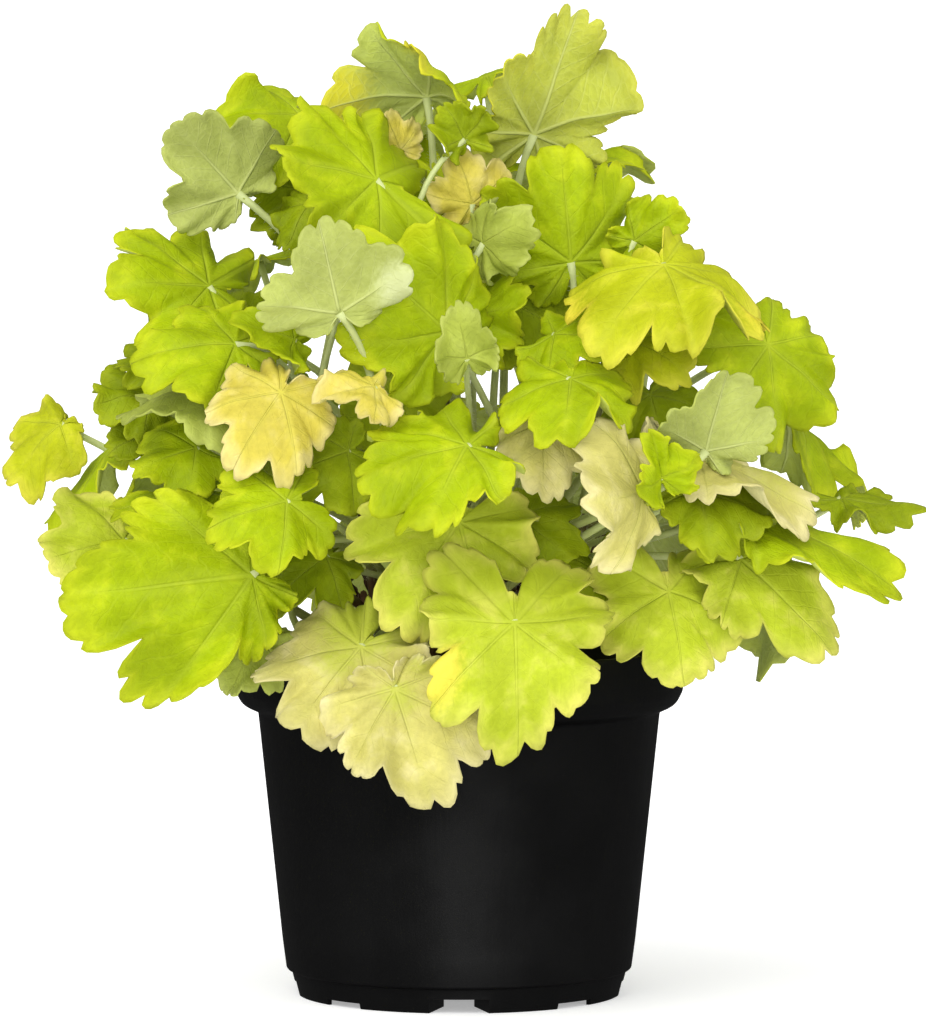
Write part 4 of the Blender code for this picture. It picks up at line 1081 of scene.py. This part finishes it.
blushes = {   # bearing in degrees, share of the way out, size and strength of a tinted patch
    "front": ((60, 0.75, 0.26, 0.9),),
    "top_left": ((50, 0.85, 0.40, 0.9), (-40, 0.90, 0.35, 0.8)),
    "hanging_left": ((150, 0.3, 0.5, 0.9), (20, 0.2, 0.3, 0.6)),
    "hanging_cream": ((-120, 0.4, 0.3, 0.5), (0, 0.05, 0.25, 0.6)),
    "yellow_right": ((-60, 0.8, 0.30, 0.6), (80, 0.9, 0.35, 0.7)),
    "pale_back": ((-80, 0.7, 0.35, 0.9),),
    "cream_edge": ((-20, 0.6, 0.4, 0.5),),
}
shownTones = {   # leaves shown in another tone than their solids' table says
    # The brighter spring tone on lower_centre and low_right is painted light on leaves that lie in shade; the
    # darker lime on right_turned is painted shade.
    "front": "spring", "lower_centre": "spring", "low_mid_right": "spring", "outer_left": "spring",
    "low_right": "spring", "small_right": "lime", "edge_left": "lime", "right_turned": "olive",
}
veins = {   # lengths are shares of the leaf's size, scales are per millimetre of blade
    "width": (0.024, -0.016),        # at the stalk, and its change along the lobe
    "core": (0.25, 1.0),
    "halo": (0.5, 4.5),
    "haloShare": 0.12,
    "sideSlant": -0.95,
    "sideSpacing": 0.155,
    "sideWander": 0.10,
    "sideWidth": (0.02, 0.085),
    "sideEnd": (0.80, 0.97),
    "netScale": (0.30, 0.9),
    "netWidth": 0.13,
    "meshScale": (0.95, 0.95),
    "meshWidth": 0.16,
    "strengths": (0.38, 0.20, 0.08),     # of the side veins, the net between them and the fine mesh
    "puff": -0.20,
    "grain": -0.15,
    "wander": (0.09, 3.0),
    "fine": (0.45, 4.0, 0.6),
    "cloud": (0.045, 2.0),
    "rim": (0.5, 0.95, 1.45),        # the noise's share, and where the margin's colour begins and is full
    "mottle": (0.48, 0.78, 0.0, 0.55),
    "light": (0.30, 0.72, 0.84, 1.10),
    "lightFine": (0.30, 0.70, 0.93, 1.05),
    "blush": (0.5, 0.45, 1.05),
    "roughness": (0.25, 0.75, 0.40, 0.58),
    "shown": {"Upper": 0.20, "Under": 0.62},
    "relief": {"Upper": -0.00035, "Under": 0.0004},
    "pale": {"Upper": (0.58, 0.64, 0.10), "Under": (0.64, 0.68, 0.30)},
    "paleShare": 0.55,
    "underMargin": 0.4,
    "finish": (0.5, 0.09),
}
stalk = {
    "sides": 9,
    "rings": 22,
    "ribs": 0.10,
    "flare": (0.35, 0.94),           # how much wider the end gets, and from which share of the length
    "finish": (0.5, 0.35),
    "roughness": (0.3, 0.7, 0.42, 0.60),
    "clouds": (220.0, 3.0),
    "cloudShare": 0.30,
    "middleFrom": (0.18, 0.50),      # from foot to middle, and from middle to top, along the stalk
    "topFrom": (0.55, 1.10),
    "relief": (0.0003, 0.6),
    "foot": (0.085, 0.038, 0.016),
    "middle": (0.360, 0.400, 0.110),
    "top": (0.560, 0.620, 0.260),
    "hairEvery": 0.55,               # millimetres of stalk for each hair
    "hairLength": (0.9, 2.1),
    "hairRadius": 0.055,
    "hairLean": (-0.2, 0.7),
    "hairFinish": (0.6, 0.3),
    "hairClouds": 400.0,
    "hairColours": ((0.62, 0.66, 0.42), (0.80, 0.82, 0.66)),
}


def blend(first, second, share):
    return tuple((1 - share) * a + share * b for a, b in zip(first, second))


def cellEdges(tree, vector, scale, randomness):
    made = addNode(tree, "ShaderNodeTexVoronoi", {"Scale": scale, "Randomness": randomness},
                   feature="DISTANCE_TO_EDGE")
    tree.links.new(vector, made.inputs["Vector"])
    return made.outputs["Distance"]


def makeLeafGroup():
    # Veins, network, mottling and margin of a blade. Vein holds the place in the lobe: along, across, out
    tree, given, out = newGroup("leafSurface", (
        ("Flat", "NodeSocketVector", None), ("Vein", "NodeSocketVector", None),
        ("Blush", "NodeSocketFloat", 0.0), ("Base", "NodeSocketColor", None),
        ("Margin", "NodeSocketColor", None), ("Tint", "NodeSocketColor", None),
        ("Vein Colour", "NodeSocketColor", None), ("Vein Strength", "NodeSocketFloat", 0.4),
    ), (("Colour", "NodeSocketColor"), ("Height", "NodeSocketFloat"), ("Roughness", "NodeSocketFloat")))
    given, flat = given.outputs, given.outputs["Flat"]
    split = addNode(tree, "ShaderNodeSeparateXYZ")
    tree.links.new(given["Vein"], split.inputs[0])
    along, across, edge = split.outputs
    wander, fine, cloud = (noiseValue(tree, flat, *veins[key]) for key in ("wander", "fine", "cloud"))

    start, change = veins["width"]
    near = maths(tree, "DIVIDE", across, maths(tree, "MULTIPLY_ADD", along, change, start))
    main = smoothRange(tree, near, *veins["core"], 1.0, 0.0)
    halo = smoothRange(tree, near, *veins["halo"], 1.0, 0.0)
    slant = maths(tree, "MULTIPLY_ADD", across, veins["sideSlant"], along)
    slant = maths(tree, "MULTIPLY_ADD", wander, veins["sideWander"], slant)
    turn = maths(tree, "FRACT", maths(tree, "DIVIDE", slant, veins["sideSpacing"]))
    gap = maths(tree, "ABSOLUTE", maths(tree, "SUBTRACT", turn, 0.5))
    side = maths(tree, "MULTIPLY", smoothRange(tree, gap, *veins["sideWidth"], 1.0, 0.0),
                 smoothRange(tree, edge, *veins["sideEnd"], 1.0, 0.0))
    cells = cellEdges(tree, flat, *veins["netScale"])
    net = smoothRange(tree, cells, 0.0, veins["netWidth"], 1.0, 0.0)
    puff = smoothRange(tree, cells, 0.0, 0.5)
    mesh = smoothRange(tree, cellEdges(tree, flat, *veins["meshScale"]), 0.0, veins["meshWidth"], 1.0, 0.0)
    shown = main
    for layer, strength in zip((side, net, mesh), veins["strengths"]):
        shown = maths(tree, "MAXIMUM", shown, maths(tree, "MULTIPLY", layer, strength))

    strength, low, high = veins["rim"]
    rim = smoothRange(tree, maths(tree, "MULTIPLY_ADD", cloud, strength, edge), low, high)
    colour = mixColours(tree, rim, given["Base"], given["Margin"])
    colour = mixColours(tree, smoothRange(tree, wander, *veins["mottle"]), colour, given["Margin"])
    shade = maths(tree, "MULTIPLY", smoothRange(tree, cloud, *veins["light"]),
                  smoothRange(tree, fine, *veins["lightFine"]))
    grey = addNode(tree, "ShaderNodeCombineXYZ")
    for k in range(3):
        tree.links.new(shade, grey.inputs[k])
    colour = mixColours(tree, 1.0, colour, grey.outputs[0], "MULTIPLY")
    strength, low, high = veins["blush"]
    patch = smoothRange(tree, maths(tree, "MULTIPLY_ADD", fine, strength, given["Blush"]), low, high)
    colour = mixColours(tree, patch, colour, given["Tint"])
    for share, strength in ((halo, veins["haloShare"]), (shown, given["Vein Strength"])):
        colour = mixColours(tree, maths(tree, "MULTIPLY", share, strength), colour, given["Vein Colour"])
    raised = maths(tree, "MULTIPLY_ADD", puff, veins["puff"], shown)
    tree.links.new(colour, out.inputs["Colour"])
    tree.links.new(maths(tree, "MULTIPLY_ADD", fine, veins["grain"], raised), out.inputs["Height"])
    tree.links.new(smoothRange(tree, fine, *veins["roughness"]), out.inputs["Roughness"])
    return tree


def makeBladeMaterial(group, tone, side):
    finish, tree, shader = shaderMaterial("leaf_" + tone + side, *veins["finish"])
    upper, margin, under, tint = tones[tone]
    base = upper if side == "Upper" else under
    edge = margin if side == "Upper" else blend(under, margin, veins["underMargin"])
    pale = blend(base, veins["pale"][side], veins["paleShare"])
    surface = placeGroup(tree, group, {
        "Base": (*base, 1.0), "Margin": (*edge, 1.0), "Tint": (*tint, 1.0), "Vein Colour": (*pale, 1.0),
        "Vein Strength": veins["shown"][side],
    }, {
        "Flat": attributeValue(tree, "leafFlat", "Vector"),
        "Vein": attributeValue(tree, "leafVein", "Vector"),
        "Blush": attributeValue(tree, "leafBlush", "Fac"),
    })
    addLook(tree, shader, surface.outputs["Colour"], surface.outputs["Roughness"])
    addBump(tree, shader, surface.outputs["Height"], veins["relief"][side], 0.9)
    return finish


def makeStalkMaterial():
    finish, tree, shader = shaderMaterial("leafStalk", *stalk["finish"])
    cloud = noiseValue(tree, objectPlace(tree), *stalk["clouds"])
    step = maths(tree, "MULTIPLY_ADD", cloud, stalk["cloudShare"], attributeValue(tree, "leafBlush", "Fac"))
    colour = mixColours(tree, smoothRange(tree, step, *stalk["middleFrom"]), stalk["foot"], stalk["middle"])
    colour = mixColours(tree, smoothRange(tree, step, *stalk["topFrom"]), colour, stalk["top"])
    addLook(tree, shader, colour, smoothRange(tree, cloud, *stalk["roughness"]))
    addBump(tree, shader, cloud, *stalk["relief"])
    return finish


def makeHairMaterial():
    finish, tree, shader = shaderMaterial("leafHair", *stalk["hairFinish"])
    cloud = noiseValue(tree, objectPlace(tree), stalk["hairClouds"])
    addLook(tree, shader, mixColours(tree, cloud, *stalk["hairColours"]))
    return finish


def makeLeafFinishes():
    group = makeLeafGroup()
    made = {"stalk": makeStalkMaterial(), "hair": makeHairMaterial()}
    for tone in tones:
        for side in ("Upper", "Under"):
            made[tone + side] = makeBladeMaterial(group, tone, side)
    return made


finishes = makeLeafFinishes()
print("leaf finishes ready")


# Leaves

blade = {
    "drawSeed": 5000,
    "teeth": {5: 5, 7: 4},           # scallops on each lobe, and more on leaves past a size
    "manyTeeth": (50, 2),
    "stepsPerTooth": (5, 4),         # on large front leaves, and on the others
    "rings": (16, 12),
    "ringGrowth": 0.9,
    "sinusSteps": 4,
    "trims": {"top_right": 0.93},
    "scallop": 0.068,
    "scallopSwing": (0.55, 5.1),     # how unequal the teeth are, and waves of it round the leaf
    "toothDrift": (0.30, 4.3),
    "toothMiddle": 0.85,
    "sway": (0.035, 2.5),
    "cleft": 0.15,
    "cleftSwing": (0.5, 1.7),
    "ruffle": 0.095,
    "ruffleRise": 2.5,
    "waves": (                       # share, waves a lobe and more, strength's mean, swing and waves
        (1.0, 1.3, 0.4, 0.8, 0.6, 2.2),
        (0.45, 2.6, 0.0, 0.6, 0.6, 3.1),
    ),
    "frill": (0.016, 5.3),
    "crumple": 0.032,
    "crumpleWaves": ((8.3, 3.1, 7.1), (13.0, -6.0, 0.6)),
    "smallRuffle": (1.7, 26),        # more on leaves under a size
    "calmSinus": 25,
    "crease": (0.014, 0.022),        # depth and half width
    "puff": 0.0028,
    "thickness": 0.60,
}


def gridMesh(name, columns, rows):
    bm = bmesh.new()
    bmesh.ops.create_grid(bm, x_segments=columns, y_segments=rows, size=0.5)
    mesh = bpy.data.meshes.new(name)
    bm.to_mesh(mesh)
    bm.free()
    return mesh


def joinEnds(mesh, capped):
    # Merges the seam and the pole, and closes a tube's ends
    bm = bmesh.new()
    bm.from_mesh(mesh)
    bmesh.ops.remove_doubles(bm, verts=bm.verts, dist=1e-6)
    if capped:
        bmesh.ops.holes_fill(bm, edges=[edge for edge in bm.edges if edge.is_boundary])
        bmesh.ops.recalc_face_normals(bm, faces=bm.faces)
    bm.to_mesh(mesh)
    bm.free()


def toothed(item, even, shares, phases):
    # Bearings with teeth of unequal width, and how far the toothed and cleft outline stands out there
    lobes, half = item["lobes"], build["lobedSpan"] / 2
    span = build["lobedSpan"] / lobes
    teeth = toothCount(item)
    drift, waves = blade["toothDrift"]
    swing = drift * span / teeth * np.sin(np.radians(even) * waves + phases[0])
    bearings = even + swing * np.clip((half - np.abs(even)) / span, 0, 1)
    angle, inLobe = np.radians(bearings), np.abs(even) <= half

    uneven, waves = blade["scallopSwing"]
    weight = 1 + uneven * np.sin(angle * waves + phases[1])
    tooth = np.sqrt(np.abs(np.sin(math.pi * teeth * (even + half) / span))) - blade["toothMiddle"]
    outline = 1 + np.where(inLobe, blade["scallop"] * tooth * weight, 0.0) * shares ** 4
    sway, waves = blade["sway"]
    outline = outline * (1 + sway * shares * np.sin(angle * waves + phases[1]))
    uneven, waves = blade["cleftSwing"]
    fromMiddle = np.abs(2 * ((bearings + half) / span % 1.0) - 1)
    cleft = blade["cleft"] * (1 + uneven * np.sin(angle * waves + phases[6])) * fromMiddle ** 7
    outline = outline * (1 - np.where(inLobe, cleft, 0.0) * shares ** 3)
    return bearings, outline * blade["trims"].get(item["name"], 1.0)


def toothCount(item):
    size, more = blade["manyTeeth"]
    return blade["teeth"][item["lobes"]] + (more if item["size"] > size else 0)


def ruffled(item, bearings, shares, x, y, phases):
    # Waves of the margin, finer frills at the edge and crumples all over
    lobes, angle = item["lobes"], np.radians(bearings)
    made = 0.0 * angle
    for k, (share, perLobe, more, mean, swing, slow) in enumerate(blade["waves"]):
        strength = share * (mean + swing * np.sin(angle * slow + phases[2 * k + 3]))
        made += strength * np.sin(angle * (perLobe * lobes + more) + phases[2 * k + 2])
    made *= blade["ruffle"] * shares ** blade["ruffleRise"]
    frill, waves = blade["frill"]
    made += frill * shares ** 8 * np.sin(angle * waves * lobes + phases[6])
    (first, second, third), (fourth, fifth, share) = blade["crumpleWaves"]
    made += blade["crumple"] * shares * (
        np.sin(first * x + second * y + phases[3]) * np.sin(third * y + phases[4])
        + share * np.sin(fourth * x + fifth * y + phases[5]))
    more, size = blade["smallRuffle"]
    made *= more if item["size"] < size else 1.0
    return made * np.clip((180 - np.abs(bearings)) / blade["calmSinus"], 0, 1)


def creased(along, across, shares):
    # Furrows along the main veins, and puffs of the blade between the side veins
    depth, width = blade["crease"]
    crease = -depth * np.exp(-(across / width) ** 2) * np.clip(shares * 4, 0, 1) * (1 - 0.5 * shares)
    waves = np.clip(along + veins["sideSlant"] * across, -1, 1) * math.tau / veins["sideSpacing"]
    puff = blade["puff"] * np.sin(waves) * np.clip(across / 0.06, 0, 1) * np.clip((1 - shares) * 5, 0, 1)
    return crease + puff


def blushAt(name, x, y):
    blush = np.zeros(len(x))
    for turn, out, size, strength in blushes.get(name, ()):
        away = np.hypot(x - out * math.sin(math.radians(turn)), y - out * math.cos(math.radians(turn)))
        blush = np.maximum(blush, strength * np.exp(-(away / size) ** 2))
    return blush


def bladeMesh(item):
    draw = random.Random(item["seed"] + blade["drawSeed"])
    lobes, half = item["lobes"], build["lobedSpan"] / 2
    plain = 1 if item["place"] or item["size"] <= build["bigLeaf"] else 0
    rings, sinus = blade["rings"][plain], blade["sinusSteps"]
    lobed = lobes * toothCount(item) * blade["stepsPerTooth"][plain]
    columns = lobed + 2 * sinus
    mesh = gridMesh(item["name"], columns, rings)
    points = coordinates(mesh)
    even = np.interp((points[:, 0] + 0.5) * columns, (0, sinus, sinus + lobed, columns),
                     (-180, -half, half, 180))
    shares = (points[:, 1] + 0.5) ** blade["ringGrowth"]

    phases = [draw.uniform(0, math.tau) for _ in range(7)]
    bearings, outline = toothed(item, even, shares, phases)
    radius, angle = shares * outlineReach(bearings, lobes), np.radians(bearings)
    span = build["lobedSpan"] / lobes
    fromVein = np.radians(((bearings + half) / span % 1.0 - 0.5) * span)
    along, across = radius * np.cos(fromVein), np.abs(radius * np.sin(fromVein))
    x, y = radius * np.sin(angle), radius * np.cos(angle)
    relief = ruffled(item, bearings, shares, x, y, phases) + creased(along, across, shares)

    shaped = bladePoints(item, shares, bearings, relief, outline)
    setCoordinates(mesh, placed(shaped, item["frame"]) * mm)
    shift = (draw.uniform(0, 400), draw.uniform(0, 400), 0)
    pointAttribute(mesh, "leafFlat", np.column_stack((x, y, 0 * x)) * item["size"] + shift)
    pointAttribute(mesh, "leafVein", np.column_stack((along, across, shares)))
    pointAttribute(mesh, "leafBlush", blushAt(item["name"], x, y))
    joinEnds(mesh, False)

    made = bpy.data.objects.new(item["name"], mesh)
    scene.collection.objects.link(made)
    tone = shownTones.get(item["name"], item["tone"])
    mesh.materials.append(finishes[tone + "Upper"])
    mesh.materials.append(finishes[tone + "Under"])
    shell = made.modifiers.new("thickness", "SOLIDIFY")
    shell.thickness = blade["thickness"] * mm
    shell.offset = 0.0
    shell.material_offset = 1
    shell.material_offset_rim = 0
    applyModifiers(made)
    shown = made.data
    bpy.data.objects.remove(made)
    return shown


def tubeFrames(path, side):
    # Two directions square to the path at each of its points, turned as little as can be
    ways = np.gradient(path, axis=0)
    ways /= lengths(ways)
    sides, others = np.empty_like(path), np.empty_like(path)
    for k in range(len(path) - 1, -1, -1):
        side = unit(side - ways[k] * side.dot(ways[k]))
        sides[k], others[k] = side, np.cross(ways[k], side)
    return ways, sides, others


def stalkMesh(item):
    rings = stalk["rings"]
    steps = np.linspace(0, 1, rings + 1)
    path = curvePoints(item["controls"], steps)
    scale = 1.0 if item["size"] >= build["bigLeaf"] else build["smallStalk"]
    radii = np.interp(steps, build["stalkSteps"], build["stalkRadii"]) * scale
    ways, sides, others = tubeFrames(path, item["frame"][1])
    mesh = gridMesh("stalk", stalk["sides"], rings)
    points = coordinates(mesh)
    row = np.rint((points[:, 1] + 0.5) * rings).astype(int)
    turn = (points[:, 0] + 0.5) * math.tau
    ridge = radii[row] * (1 + stalk["ribs"] * np.cos(3 * turn))
    wider, begin = stalk["flare"]
    flare = 1 + wider * np.clip((steps[row] - begin) / (1 - begin), 0, 1)
    ring = path[row] + (ridge * flare)[:, None] * (np.cos(turn)[:, None] * sides[row]
                                                  + np.sin(turn)[:, None] * others[row])
    setCoordinates(mesh, ring * mm)
    pointAttribute(mesh, "leafFlat", ring)
    pointAttribute(mesh, "leafVein", 0 * ring)
    pointAttribute(mesh, "leafBlush", steps[row])
    joinEnds(mesh, True)
    mesh.materials.append(finishes["stalk"])
    return mesh, (path, radii, ways, sides, others)


def hairMesh(item, tube):
    # Fine hairs that stand out from the stalk and lean a little to the leaf
    path, radii, ways, sides, others = tube
    draw = np.random.default_rng(item["seed"])
    count = int(lengths(np.diff(path, axis=0)).sum() / stalk["hairEvery"])
    mesh, corners = repeated("hairs", bmesh.ops.create_cone, count, cap_ends=True, segments=3, radius1=1.0,
                             radius2=0.0, depth=1.0)
    step = draw.uniform(0.08, 1.0, count) * (len(path) - 1)
    low = np.minimum(step.astype(int), len(path) - 2)
    part = (step - low)[:, None]
    centre, way, side, other = (values[low] * (1 - part) + values[low + 1] * part
                                for values in (path, ways, sides, others))
    turn = draw.uniform(0, math.tau, count)[:, None]
    out = np.cos(turn) * side + np.sin(turn) * other
    root = centre + out * (radii[low] * 0.9)[:, None]
    rise = out + way * draw.uniform(*stalk["hairLean"], count)[:, None]
    rise /= lengths(rise)
    side = np.cross(rise, way)
    side /= lengths(side)
    other = np.cross(rise, side)
    tall = draw.uniform(*stalk["hairLength"], count)[:, None]
    cone = corners[None, :, :1] * side[:, None] + corners[None, :, 1:2] * other[:, None]
    points = (root[:, None] + stalk["hairRadius"] * cone
              + tall[:, None] * (corners[None, :, 2:] + 0.5) * rise[:, None])
    setCoordinates(mesh, points.reshape(-1, 3) * mm)
    mesh.materials.append(finishes["hair"])
    return mesh


def joinMeshes(name, meshes):
    # One mesh of several, each keeping its own materials
    materials = []
    bm = bmesh.new()
    for mesh in meshes:
        shift = []
        for entry in mesh.materials:
            if entry not in materials:
                materials.append(entry)
            shift.append(materials.index(entry))
        indices = np.empty(len(mesh.polygons), int)
        mesh.polygons.foreach_get("material_index", indices)
        mesh.polygons.foreach_set("material_index", np.array(shift)[indices])
        bm.from_mesh(mesh)
        bpy.data.meshes.remove(mesh)
    return finishedObject(name, bm, materials)


def makeLeaves():
    owners = {}
    for item in leaves:
        owners.setdefault(item["owner"], []).append(item)
    for node, members in owners.items():
        meshes = []
        for item in members:
            stem, tube = stalkMesh(item)
            meshes += [bladeMesh(item), stem, hairMesh(item, tube)]
        made = joinMeshes(node + "_grown", meshes)
        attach(made, "root")
        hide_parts(node)
    print("leaf pieces", len(owners))


makeLeaves()
print("leaves ready")
